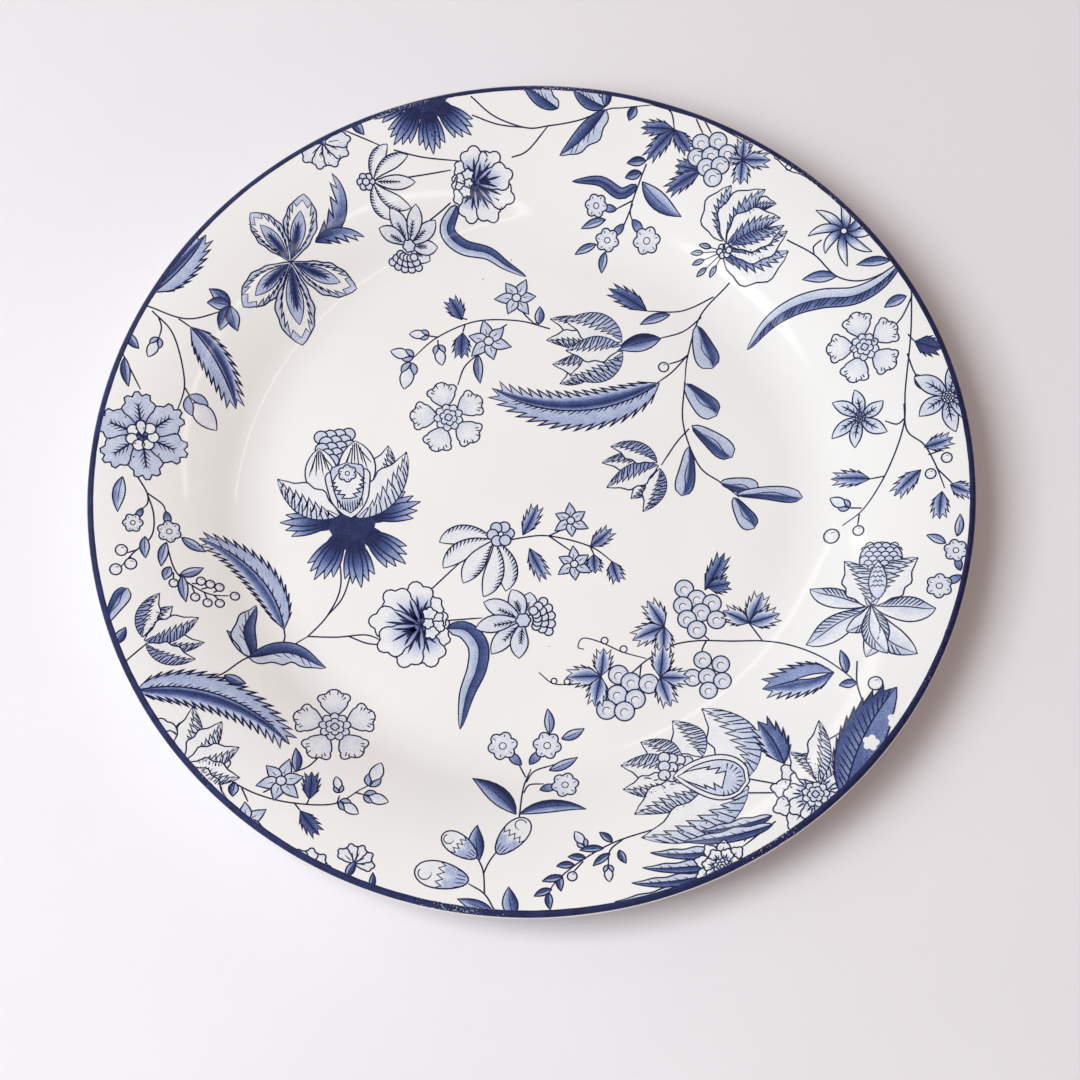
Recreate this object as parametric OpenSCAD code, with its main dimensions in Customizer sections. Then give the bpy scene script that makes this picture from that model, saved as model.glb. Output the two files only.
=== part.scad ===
// Round china serving platter with an all-over printed floral face and a painted rim line.
// Millimetres, +Z up. The origin is the centre of the plane that the foot ring rests on.

/* [Platter] */
// Overall diameter over the lip
platter_d = 305; // [260:1:340]
// Thickness of the glazed wall, from face to back
wall_t = 3.8; // [3:0.1:5]
// Height of the well's glazed surface above the table
well_z = 7.2; // [6:0.1:9]

/* [Well, verge and rim] */
// Radius of the flat well
well_r = 88; // [76:1:92]
// Radius of the curve that turns the well up into the verge
verge_r = 46; // [38:1:60]
// Slope of the verge at its steepest, in degrees
verge_slope = 24; // [20:1:27]
// Slope of the rim where it meets the lip, in degrees
lip_slope = 8; // [5:1:12]
// Length of the straight slope between the verge's curve and the rim's curve
verge_run = 2.2; // [1:0.1:4]

/* [Foot ring] */
// Radius of the middle of the foot ring
foot_r = 91; // [89:0.5:93]
// Width of the foot ring where it leaves the back
foot_top_w = 6; // [4.8:0.1:7]
// Width of the bare face that rests on the table
foot_rest_w = 3; // [2.4:0.1:3.2]
// Size of the bevel beside the bare face
foot_bevel = 0.5; // [0.3:0.1:0.6]
// Height of the bare, unglazed edge of the foot ring
foot_bare_h = 0.9; // [0.7:0.1:1.2]

/* [Coatings] */
// Thickness of the clear glaze
glaze_t = 0.25; // [0.2:0.01:0.4]
// Thickness of the fired rim line
band_t = 0.08; // [0.05:0.01:0.15]
// Width of the fired rim line, measured over the curve of the lip
band_w = 2.3; // [1.5:0.1:2.6]
// Bare white edge left outside the rim line, as an angle on the lip
lip_bare_angle = 28; // [20:1:40]
// Thickness of the fired print
print_t = 0.06; // [0.04:0.01:0.12]
// Width of the printed stems
stem_w = 0.7; // [0.5:0.1:1]

/* [Hidden] */
$fn = 180;

china = "#f4f1ea";
glaze = "#f1f0ee";
cobalt = "#24346b";
ink = "#4a5f9c";

lip_r = wall_t / 2;
lip_c_r = platter_d / 2 - lip_r;
deg_step = 1.5;

// The face runs: flat well, concave curve up to the verge, straight slope, long convex rim, lip.
verge_c = [well_r, well_z + verge_r];
verge_end = verge_c + verge_r * [sin(verge_slope), -cos(verge_slope)];
rim_start = verge_end + verge_run * [cos(verge_slope), sin(verge_slope)];
rim_run = lip_c_r - lip_r * sin(lip_slope) - rim_start[0];
rim_r = rim_run / (sin(verge_slope) - sin(lip_slope));
rim_c = rim_start + rim_r * [sin(verge_slope), -cos(verge_slope)];
lip_c = rim_c + (rim_r - lip_r) * [-sin(lip_slope), cos(lip_slope)];

function arc(c, r, a0, a1) =
    let (n = max(2, ceil(abs(a1 - a0) / deg_step)))
    [for (i = [0:n]) c + r * [cos(a0 + (a1 - a0) * i / n), sin(a0 + (a1 - a0) * i / n)]];

// The face's line from the centre to the start of the lip, at a depth d under the glazed surface
function face_line(d) = concat(
    [[0, well_z - d]],
    arc(verge_c, verge_r + d, -90, verge_slope - 90),
    arc(rim_c, rim_r - d, 90 + verge_slope, 90 + lip_slope));

function backwards(points) = [for (i = [len(points) - 1:-1:0]) points[i]];

// The back's line, drawn in by d: under the rim and verge, round the foot ring, and along the base
function back_line(d) =
    let (
        back_r = verge_r + wall_t - d,
        foot_angle = asin((foot_r + foot_top_w / 2 - d - well_r) / back_r),
        rest = foot_rest_w / 2)
    concat(
        arc(rim_c, rim_r - wall_t + d, 90 + lip_slope, 90 + verge_slope),
        arc(verge_c, back_r, verge_slope - 90, foot_angle - 90),
        [[foot_r + rest + foot_bevel - d, foot_bevel],
         [foot_r + rest - d, 0],
         [foot_r - rest + d, 0],
         [foot_r - rest - foot_bevel + d, foot_bevel],
         [foot_r - foot_top_w / 2 + d, well_z - wall_t + d],
         [0, well_z - wall_t + d]]);

// Half section of the whole platter, drawn in by d all round except on the bare rest
module platter_section(d) {
    polygon(concat(
        face_line(d),
        arc(lip_c, lip_r - d, 88 + lip_slope, lip_slope - 88),
        back_line(d)));
}

// Everything on the face side of the wall's middle
module face_side() {
    polygon(concat(
        face_line(wall_t / 2),
        [lip_c, [platter_d, lip_c[1]], [platter_d, platter_d / 2], [0, platter_d / 2]]));
}

// Half section of the glaze skin, which stops above the bare foot
module glaze_section() {
    difference() {
        platter_section(0);
        platter_section(glaze_t);
        translate([foot_r - foot_top_w, -1]) square([2 * foot_top_w, 1 + foot_bare_h]);
    }
}

// Bisque casting: well, verge, rim, rounded lip and foot ring in one piece
module china_body() {
    color(china) rotate_extrude() platter_section(glaze_t);
}

// Clear glaze over the face, out to the edge of the lip
module face_glaze() {
    color(glaze) rotate_extrude() intersection() {
        glaze_section();
        face_side();
    }
}

// Clear glaze under the rim, from the edge of the lip down the outside of the foot ring
module back_glaze() {
    color(glaze) rotate_extrude() difference() {
        glaze_section();
        face_side();
        square([foot_r, well_z]);
    }
}

// Clear glaze on the base, inside the foot ring
module base_glaze() {
    color(glaze) rotate_extrude() difference() {
        glaze_section();
        face_side();
        translate([foot_r, 0]) square([platter_d, platter_d]);
    }
}

// Fired cobalt line on the top of the lip
module rim_band() {
    band_angle = band_w / lip_r * 180 / PI;
    color(cobalt) rotate_extrude() polygon(concat(
        arc(lip_c, lip_r, lip_bare_angle, lip_bare_angle + band_angle),
        backwards(arc(lip_c, lip_r + band_t, lip_bare_angle, lip_bare_angle + band_angle))));
}

// A flower from above: a round eye with a ring of round petals, reach r
module bloom(x, y, r, petals) {
    translate([x, y]) {
        circle(0.55 * r);
        for (i = [0:petals - 1]) {
            rotate(i * 360 / petals) translate([0.62 * r, 0]) circle(0.38 * r);
        }
    }
}

// A leaf pointed at both ends, about its middle, turned by an angle from +X
module leaf(x, y, length, width, turn) {
    side_r = (length * length + width * width) / (4 * width);
    translate([x, y]) rotate(turn) intersection() {
        translate([0, side_r - width / 2]) circle(side_r);
        translate([0, width / 2 - side_r]) circle(side_r);
    }
}

// A thin stem that bows a little between two points
module stem(x0, y0, x1, y1) {
    run = [x1 - x0, y1 - y0];
    leaf((x0 + x1) / 2, (y0 + y1) / 2, norm(run), stem_w, atan2(run[1], run[0]));
}

module berry(x, y, r) {
    translate([x, y]) circle(r);
}

// Lays flat shapes onto the glazed face as a skin of fired colour
module fired_print() {
    color(ink) intersection() {
        linear_extrude(platter_d / 4) children();
        rotate_extrude() polygon(concat(face_line(0), backwards(face_line(-print_t))));
    }
}

// Star flower, striped tulip, clasping leaves and the long stem at the upper left of the face
module print_top_left() {
    fired_print() {
        bloom(-79, 92, 21, 5);
        leaf(-60, 107, 24, 5, 60);
        leaf(-113, 95, 20, 6, 40);
        leaf(-108, 54, 36, 8, -58);
        bloom(-103, 74, 6, 4);
        leaf(-44, 120, 26, 17, 70);
        leaf(-24, 141, 24, 9, 20);
        bloom(-64, 133, 6, 6);
        stem(-131, 72, -109, 73);
        stem(-130, 70, -114, 40);
        leaf(-112, 34, 11, 5, -60);
        berry(-128, 59, 2.5);
    }
}

// Scalloped flower, hanging berries, long toothed leaf and tulip at the left
module print_left() {
    fired_print() {
        bloom(-130, 28, 13.5, 6);
        leaf(-141, 6, 10, 4, 80);
        bloom(-137, -4, 4, 5);
        bloom(-124, -9, 4.5, 5);
        stem(-131, 14, -125, -4);
        stem(-124, -14, -104, -32);
        berry(-141, -14, 2.2);
        berry(-137, -20, 2.2);
        berry(-104, -33, 2);
        leaf(-101, -22, 46, 10, -52);
        leaf(-126, -45, 22, 13, -10);
        leaf(-143, -34, 12, 6, 55);
        stem(-141, -53, -136, -47);
    }
}

// Long toothed leaf, half flower, rose, star flower and pinks at the lower left
module print_lower_left() {
    fired_print() {
        leaf(-110, -74, 60, 12, -21);
        leaf(-101, -44, 16, 6, 100);
        leaf(-85, -56, 20, 7, -15);
        bloom(-119, -91, 12, 7);
        bloom(-72, -79, 12, 5);
        bloom(-90, -99, 10, 5);
        leaf(-81, -108, 14, 5, -60);
        leaf(-62, -100, 8, 4, -40);
        leaf(-68, -108, 8, 4, -70);
        bloom(-80, -122, 6, 6);
        bloom(-64, -124, 6, 6);
        stem(-76, -90, -68, -120);
    }
}

// Nodding sprig, small flowers and leaves along the bottom
module print_bottom() {
    fired_print() {
        bloom(-15, -90, 7, 6);
        bloom(-1, -91, 7, 6);
        bloom(4, -105, 6, 5);
        leaf(-19, -106, 18, 8, 60);
        leaf(2, -116, 16, 7, -50);
        bloom(-14, -122, 5, 5);
        leaf(-32, -126, 12, 6, 20);
        leaf(-39, -134, 11, 5, 30);
        stem(-15, -98, -14, -117);
        stem(12, -128, -4, -146);
        leaf(-20, -146, 16, 4, 5);
        leaf(14, -139, 9, 3.5, 60);
    }
}

// Large tulip, dahlia, long pointed leaves and a dark leaf at the lower right
module print_lower_right() {
    fired_print() {
        leaf(46, -108, 42, 30, 60);
        leaf(72, -100, 26, 9, 35);
        bloom(85, -114, 12, 8);
        leaf(108, -99, 26, 14, 45);
        bloom(51, -137, 8, 5);
        leaf(60, -128, 24, 6, -35);
        leaf(34, -145, 26, 6, 15);
        stem(30, -92, 20, -104);
    }
}

// Upright stem with roses, berries, small tulip and leaves at the right
module print_right() {
    fired_print() {
        stem(134, 54, 126, 6);
        stem(123, -4, 105, -21);
        bloom(118, 42, 11.5, 5);
        leaf(116, 17, 22, 16, 75);
        bloom(140, 18, 9, 5);
        leaf(132, 55, 13, 5, 120);
        leaf(110, -6, 14, 5, 20);
        leaf(128, -13, 14, 5, -70);
        leaf(141, 0, 13, 5, 70);
        bloom(137, -37, 5, 5);
        bloom(134, -49, 5, 5);
        berry(130, 2, 2.3);
        berry(102, -25, 2.5);
    }
}

// Peony, fringed flower and long ribbed leaf at the upper right
module print_upper_right() {
    fired_print() {
        bloom(82, 88, 17, 7);
        leaf(68, 88, 16, 8, 0);
        bloom(114, 84, 13, 9);
        leaf(120, 71, 14, 5, -60);
        leaf(104, 66, 16, 6, -30);
        leaf(107, 54, 56, 11, 18);
        leaf(100, 107, 8, 3, 40);
        stem(74, 74, 81, 72);
    }
}

// Cut leaf, hanging grapes and a spray of small flowers along the top
module print_top() {
    fired_print() {
        bloom(-8, 117, 16, 7);
        leaf(2, 87, 40, 6, -38);
        leaf(16, 136, 24, 9, 60);
        leaf(29, 134, 10, 5, 70);
        leaf(57, 124, 16, 8, -20);
        leaf(63, 111, 14, 7, 50);
        for (grape = [[69, 122], [75, 123], [81, 121], [70, 116], [76, 117], [74, 111]]) {
            berry(grape[0], grape[1], 2.9);
        }
        stem(-2, 132, 30, 140);
        stem(54, 116, 42, 92);
        bloom(32, 107, 5, 6);
        bloom(33, 95, 5, 6);
        bloom(47, 93, 5, 6);
    }
}

// Open lotus flower over its cut calyx, on the left of the well
module print_well_lotus() {
    fired_print() {
        leaf(-63, 17, 48, 25, 0);
        bloom(-62, 28, 8, 6);
        leaf(-63, -6, 48, 22, 0);
        leaf(-76, -14, 24, 9, 45);
        leaf(-52, -14, 24, 9, -45);
        leaf(-64, -18, 22, 8, 85);
        stem(-65, -29, -84, -45);
        bloom(-46, -46, 18, 7);
        leaf(-27, -60, 28, 8, -30);
    }
}

// Branch of buds and a star flower, with a rose and the long feathered leaf, at the top of the well
module print_well_branch() {
    fired_print() {
        bloom(-27, 33, 11.5, 5);
        stem(-42, 54, -20, 68);
        stem(-20, 68, 14, 62);
        leaf(-43, 57, 9, 4, 160);
        leaf(-40, 46, 10, 5, 100);
        leaf(-30, 60, 8, 4, 60);
        leaf(-25, 75, 12, 5, 120);
        bloom(-10, 60, 8, 6);
        bloom(0, 78, 7, 6);
        leaf(24, 57, 34, 26, -12);
        leaf(44, 54, 14, 5, 5);
        leaf(18, 33, 70, 12, 2);
        leaf(37, 8, 13, 8, 30);
    }
}

// Drooping chrysanthemum, trumpet flower and the sprig of stars, in the middle of the well
module print_well_blooms() {
    fired_print() {
        bloom(-14, -14, 15, 9);
        bloom(-11, -46, 15, 6);
        bloom(13, -10, 6, 5);
        bloom(12, -26, 6, 5);
        leaf(-1, -10, 12, 5, 45);
        leaf(1, -24, 12, 5, 0);
        leaf(22, -26, 12, 5, -10);
        leaf(24, -15, 10, 4, 30);
        stem(18, -30, 20, -4);
    }
}

// Main stem with paddle leaves, and the grapevine, on the right of the well
module print_well_vine() {
    fired_print() {
        stem(69, 70, 61, 51);
        stem(59, 44, 58, 9);
        stem(66, -1, 78, -8);
        leaf(68, 52, 16, 7, -65);
        leaf(65, 34, 16, 7, -50);
        leaf(65, 18, 14, 6, -50);
        leaf(51, 6, 12, 5, 60);
        leaf(74, 4, 13, 5, 60);
        for (bunch = [[55, -44], [28, -73], [55, -70]], i = [0:4]) {
            berry(bunch[0] + 5.2 * cos(i * 72), bunch[1] + 5.2 * sin(i * 72), 2.8);
        }
        leaf(58, -33, 13, 8, 60);
        leaf(39, -49, 16, 9, 0);
        leaf(72, -44, 14, 8, 10);
        leaf(42, -66, 12, 8, -20);
        leaf(86, -74, 24, 9, -20);
        bloom(116, -54, 16, 10);
    }
}

china_body();
face_glaze();
back_glaze();
base_glaze();
rim_band();
print_top_left();
print_left();
print_lower_left();
print_bottom();
print_lower_right();
print_right();
print_upper_right();
print_top();
print_well_lotus();
print_well_branch();
print_well_blooms();
print_well_vine();
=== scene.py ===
"""Round china serving platter: glazed white china with a blue botanical print and a painted rim line."""
import cmath
import math

import bpy
from mathutils import Matrix, Vector, noise


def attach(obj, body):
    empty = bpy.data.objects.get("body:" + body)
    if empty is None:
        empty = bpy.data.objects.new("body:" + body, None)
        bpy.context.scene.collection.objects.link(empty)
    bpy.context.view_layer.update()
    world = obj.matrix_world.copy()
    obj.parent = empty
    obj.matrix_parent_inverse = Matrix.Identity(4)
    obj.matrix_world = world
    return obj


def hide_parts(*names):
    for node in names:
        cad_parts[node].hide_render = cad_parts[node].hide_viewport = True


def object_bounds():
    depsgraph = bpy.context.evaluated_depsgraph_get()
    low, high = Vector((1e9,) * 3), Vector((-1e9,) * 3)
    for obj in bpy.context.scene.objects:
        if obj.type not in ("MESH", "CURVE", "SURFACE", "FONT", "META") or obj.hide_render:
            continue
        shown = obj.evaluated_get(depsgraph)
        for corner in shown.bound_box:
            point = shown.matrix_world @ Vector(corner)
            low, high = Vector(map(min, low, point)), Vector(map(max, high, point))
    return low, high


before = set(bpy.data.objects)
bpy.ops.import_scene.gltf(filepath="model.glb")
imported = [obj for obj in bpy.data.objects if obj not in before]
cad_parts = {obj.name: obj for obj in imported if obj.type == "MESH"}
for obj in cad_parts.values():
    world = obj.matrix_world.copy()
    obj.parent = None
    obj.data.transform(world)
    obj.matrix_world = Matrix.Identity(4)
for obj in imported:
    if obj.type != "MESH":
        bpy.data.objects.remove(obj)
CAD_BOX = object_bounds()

MM = 0.001
TAU = 2 * math.pi

# ---------------------------------------------------------------- platter, in millimetres as in the CAD
PLATTER_R = (CAD_BOX[1][0] - CAD_BOX[0][0]) / MM / 2
WALL = 3.8
WELL_Z = 7.2
WELL_R = 88.0
VERGE_R = 46.0
VERGE_SLOPE = math.radians(24)
LIP_SLOPE = math.radians(8)
VERGE_RUN = 2.2
GLAZE = 0.25
FOOT_OUT = 94.0
FOOT_REST_OUT = 93.0
FOOT_BARE = 0.9
FOOT_FILLET = 1.6

LIP_R = WALL / 2
LIP_C_R = PLATTER_R - LIP_R
ON_AXIS = 1e-6


def polar(radius, angle):
    return complex(radius * math.cos(angle), radius * math.sin(angle))


def slope_out(angle):
    """Direction, in the half section, of a curve's centre from a point on it that slopes by angle."""
    return complex(math.sin(angle), -math.cos(angle))


# Points of the half section are complex numbers, radius + height * 1j.
VERGE_C = complex(WELL_R, WELL_Z + VERGE_R)
VERGE_END = VERGE_C + VERGE_R * slope_out(VERGE_SLOPE)
RIM_START = VERGE_END + polar(VERGE_RUN, VERGE_SLOPE)
RIM_TURN = math.sin(VERGE_SLOPE) - math.sin(LIP_SLOPE)
RIM_R = (LIP_C_R - LIP_R * math.sin(LIP_SLOPE) - RIM_START.real) / RIM_TURN
RIM_C = RIM_START + RIM_R * slope_out(VERGE_SLOPE)
LIP_C = RIM_C - (RIM_R - LIP_R) * slope_out(LIP_SLOPE)
LIP_START_R = LIP_C.real - LIP_R * math.sin(LIP_SLOPE)


def face_height(r):
    """Height and slope of the glazed face at a radius."""
    if r <= WELL_R:
        return WELL_Z, 0.0
    if r <= VERGE_END.real:
        turn = math.asin((r - WELL_R) / VERGE_R)
        return VERGE_C.imag - VERGE_R * math.cos(turn), turn
    if r <= RIM_START.real:
        return VERGE_END.imag + (r - VERGE_END.real) * math.tan(VERGE_SLOPE), VERGE_SLOPE
    if r <= LIP_START_R:
        turn = math.asin((RIM_C.real - r) / RIM_R)
        return RIM_C.imag + RIM_R * math.cos(turn), turn
    turn = math.asin(max(-1.0, min(1.0, (LIP_C.real - r) / LIP_R)))
    return LIP_C.imag + LIP_R * math.cos(turn), turn


def face_point(p, lift):
    """Place and normal, in metres, of the point over p on the face, lifted along the normal."""
    r = abs(p)
    z, slope = face_height(r)
    out = p / r if r > ON_AXIS else 1
    n = Vector((-math.sin(slope) * out.real, -math.sin(slope) * out.imag, math.cos(slope)))
    return Vector((p.real, p.imag, z)) * MM + n * lift * MM, n


# ---------------------------------------------------------------- mesh building
def add_object(name, data):
    obj = bpy.data.objects.new(name, data)
    bpy.context.scene.collection.objects.link(obj)
    return obj


def add_mesh(name, verts, faces, material):
    mesh = bpy.data.meshes.new(name)
    mesh.from_pydata(verts, [], faces)
    mesh.materials.append(material)
    mesh.update()
    return add_object(name, mesh)


def store(mesh, name, values):
    """Keeps one number for each vertex under a name that a material reads."""
    mesh.attributes.new(name, "FLOAT", "POINT").data.foreach_set("value", values)


def smooth_shade(mesh, sharp_degrees):
    mesh.shade_smooth()
    mesh.set_sharp_from_angle(angle=math.radians(sharp_degrees))


def distinct(face):
    """The corners of a face, each listed once."""
    return list(dict.fromkeys(face))


def sides_of(loop):
    """The pairs of neighbours round a closed loop."""
    return zip(loop, loop[1:] + loop[:1])


def arc(centre, radius, start, end, step):
    count = max(1, math.ceil(abs(end - start) / step))
    return [centre + polar(radius, start + (end - start) * i / count) for i in range(count + 1)]


def lathe(name, loop, segments, material):
    """Turns a closed loop of section points about +Z. Points on the axis become one vertex each."""
    verts, rings = [], []
    for p in loop:
        if p.real < ON_AXIS:
            rings.append([len(verts)] * segments)
            verts.append((0, 0, p.imag * MM))
            continue
        rings.append(list(range(len(verts), len(verts) + segments)))
        for k in range(segments):
            q = polar(p.real * MM, TAU * k / segments)
            verts.append((q.real, q.imag, p.imag * MM))
    faces = []
    for here, after in sides_of(rings):
        for k in range(segments):
            m = (k + 1) % segments
            corners = distinct((here[k], here[m], after[m], after[k]))
            if len(corners) > 2:
                faces.append(corners)
    obj = add_mesh(name, verts, faces, material)
    smooth_shade(obj.data, 35)
    return obj


# ---------------------------------------------------------------- the print, drawn flat in millimetres
# A drawing point is a complex number x + y * 1j. Each spray is two thin shells laid on the glaze: the
# stippled washes and the engraved lines over them.
LINE = 0.53
STEM = 0.56
STROKE = 0.5
VEIN = 0.46
THIN = 0.42
FINE = 0.36
HAIR = 0.3
TAPER = (1.0, 0.3)
POINTED = (1.0, 0.2)
PRINT_LIFT = 0.012
LAYER_LIFT = 0.007
INK_RISE = 0.8
SHELL_SINK = -0.02
PRINT_EDGE = 150.1
LINE_STEP = 1.3
CELL_STEP = 0.7
LEAST_AREA = 1e-5
LEAST_STEP = 1e-4
SPINE_STEPS = 48
FLAT_FACET = 50.0
VERGE_FACET = 1.4
RIM_FACET = 2.6


def facet_limit(p):
    """Longest facet edge that keeps a patch close to the face at a point: the flat well needs no limit."""
    r = abs(p)
    if r < WELL_R - 1:
        return FLAT_FACET
    return VERGE_FACET if r < RIM_START.real + 1 else RIM_FACET


def refine(points, tones, faces):
    """Splits the facets until they follow the curve of the face."""
    points, tones = list(points), list(tones)
    triangles = []
    for face in faces:
        triangles.extend((face[0], b, c) for b, c in zip(face[1:], face[2:]))
    middles = {}

    def middle(a, b):
        key = (min(a, b), max(a, b))
        if key not in middles:
            between = (points[a] + points[b]) / 2
            if abs(points[a] - points[b]) > facet_limit(between):
                middles[key] = len(points)
                points.append(between)
                tones.append((tones[a] + tones[b]) / 2)
            else:
                middles[key] = None
        return middles[key]

    done = []
    while triangles:
        a, b, c = triangles.pop()
        ab, bc, ca = middle(a, b), middle(b, c), middle(c, a)
        split = [m for m in (ab, bc, ca) if m is not None]
        if not split:
            done.append([a, b, c])
        elif len(split) == 3:
            triangles.extend(((a, ab, ca), (ab, b, bc), (ca, bc, c), (ab, bc, ca)))
        else:
            while ab is None or (len(split) == 2 and bc is None):
                a, b, c, ab, bc, ca = b, c, a, bc, ca, ab
            if len(split) == 1:
                triangles.extend(((a, ab, c), (ab, b, c)))
            else:
                triangles.extend(((ab, b, bc), (a, ab, bc), (a, bc, c)))
    return points, tones, done


def ramp(n):
    """The fractions from 0 to 1 in n steps."""
    return [i / n for i in range(n + 1)]


class Shell:
    """Collects flat patches and lays them on the face as one mesh of closed thin shells."""

    def __init__(self, name):
        self.name = name
        self.verts, self.normals, self.tones, self.faces = [], [], [], []

    def patch(self, points, tones, faces, lift):
        kept = []
        for face in faces:
            corners = distinct(face)
            if len(corners) < 3 or all(abs(points[v]) >= PRINT_EDGE for v in corners):
                continue
            area = sum((points[a].conjugate() * points[b]).imag for a, b in sides_of(corners))
            if abs(area) > LEAST_AREA:
                kept.append(corners if area > 0 else corners[::-1])
        if not kept:
            return
        points, tones, kept = refine(points, tones, kept)
        used = sorted({v for face in kept for v in face})
        place = {v: i for i, v in enumerate(used)}
        start, count = len(self.verts), len(used)
        for height in (lift, SHELL_SINK):
            for v in used:
                p = points[v]
                if abs(p) > PRINT_EDGE:
                    p *= PRINT_EDGE / abs(p)
                co, n = face_point(p, height)
                self.verts.append(co)
                self.normals.append(n)
                self.tones.append(tones[v])
        edges = {}
        for face in kept:
            top = [start + place[v] for v in face]
            self.faces.append((top, 1))
            self.faces.append(([v + count for v in reversed(top)], -1))
            edges.update(dict.fromkeys(sides_of(top)))
        for a, b in edges:
            if (b, a) not in edges:
                self.faces.append(([b, a, a + count, b + count], 1))

    def build(self, material):
        obj = add_mesh(self.name, self.verts, [f for f, _ in self.faces], material)
        mesh = obj.data
        mesh.shade_smooth()
        store(mesh, "tone", self.tones)
        loops = []
        for face, side in self.faces:
            loops.extend(self.normals[v] * side for v in face)
        mesh.normals_split_custom_set(loops)
        return obj


class Spine:
    """A centre line of a given length that turns by bend and sways to and fro by sway, in radians."""

    def __init__(self, length, bend=0.0, sway=0.0):
        self.length, self.points = length, [0j]
        self.turns = [bend * (t - 0.5) + sway * math.sin(TAU * t) for t in ramp(SPINE_STEPS)]
        for before, after in zip(self.turns, self.turns[1:]):
            self.points.append(self.points[-1] + polar(length / SPINE_STEPS, (before + after) / 2))

    def at(self, t, side=0.0):
        """The point at fraction t of the length, moved to the left by side."""
        x = max(0.0, min(1.0, t)) * SPINE_STEPS
        i = min(SPINE_STEPS - 1, int(x))
        f = x - i
        p = self.points[i] * (1 - f) + self.points[i + 1] * f
        turn = self.turns[i] * (1 - f) + self.turns[i + 1] * f
        return p + polar(side, turn + math.pi / 2)


def smooth(points, per_mm=1.0):
    """A rounded line through the points."""
    points = [p if isinstance(p, complex) else complex(*p) for p in points]
    out = []
    padded = [2 * points[0] - points[1]] + points + [2 * points[-1] - points[-2]]
    for a, b, c, d in zip(padded, padded[1:], padded[2:], padded[3:]):
        n = max(2, int(abs(c - b) * per_mm))
        for i in range(n):
            t = i / n
            out.append(0.5 * (2 * b + (c - a) * t + (2 * a - 5 * b + 4 * c - d) * t * t
                              + (3 * b - a - 3 * c + d) * t ** 3))
    return out + [points[-1]]


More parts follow.
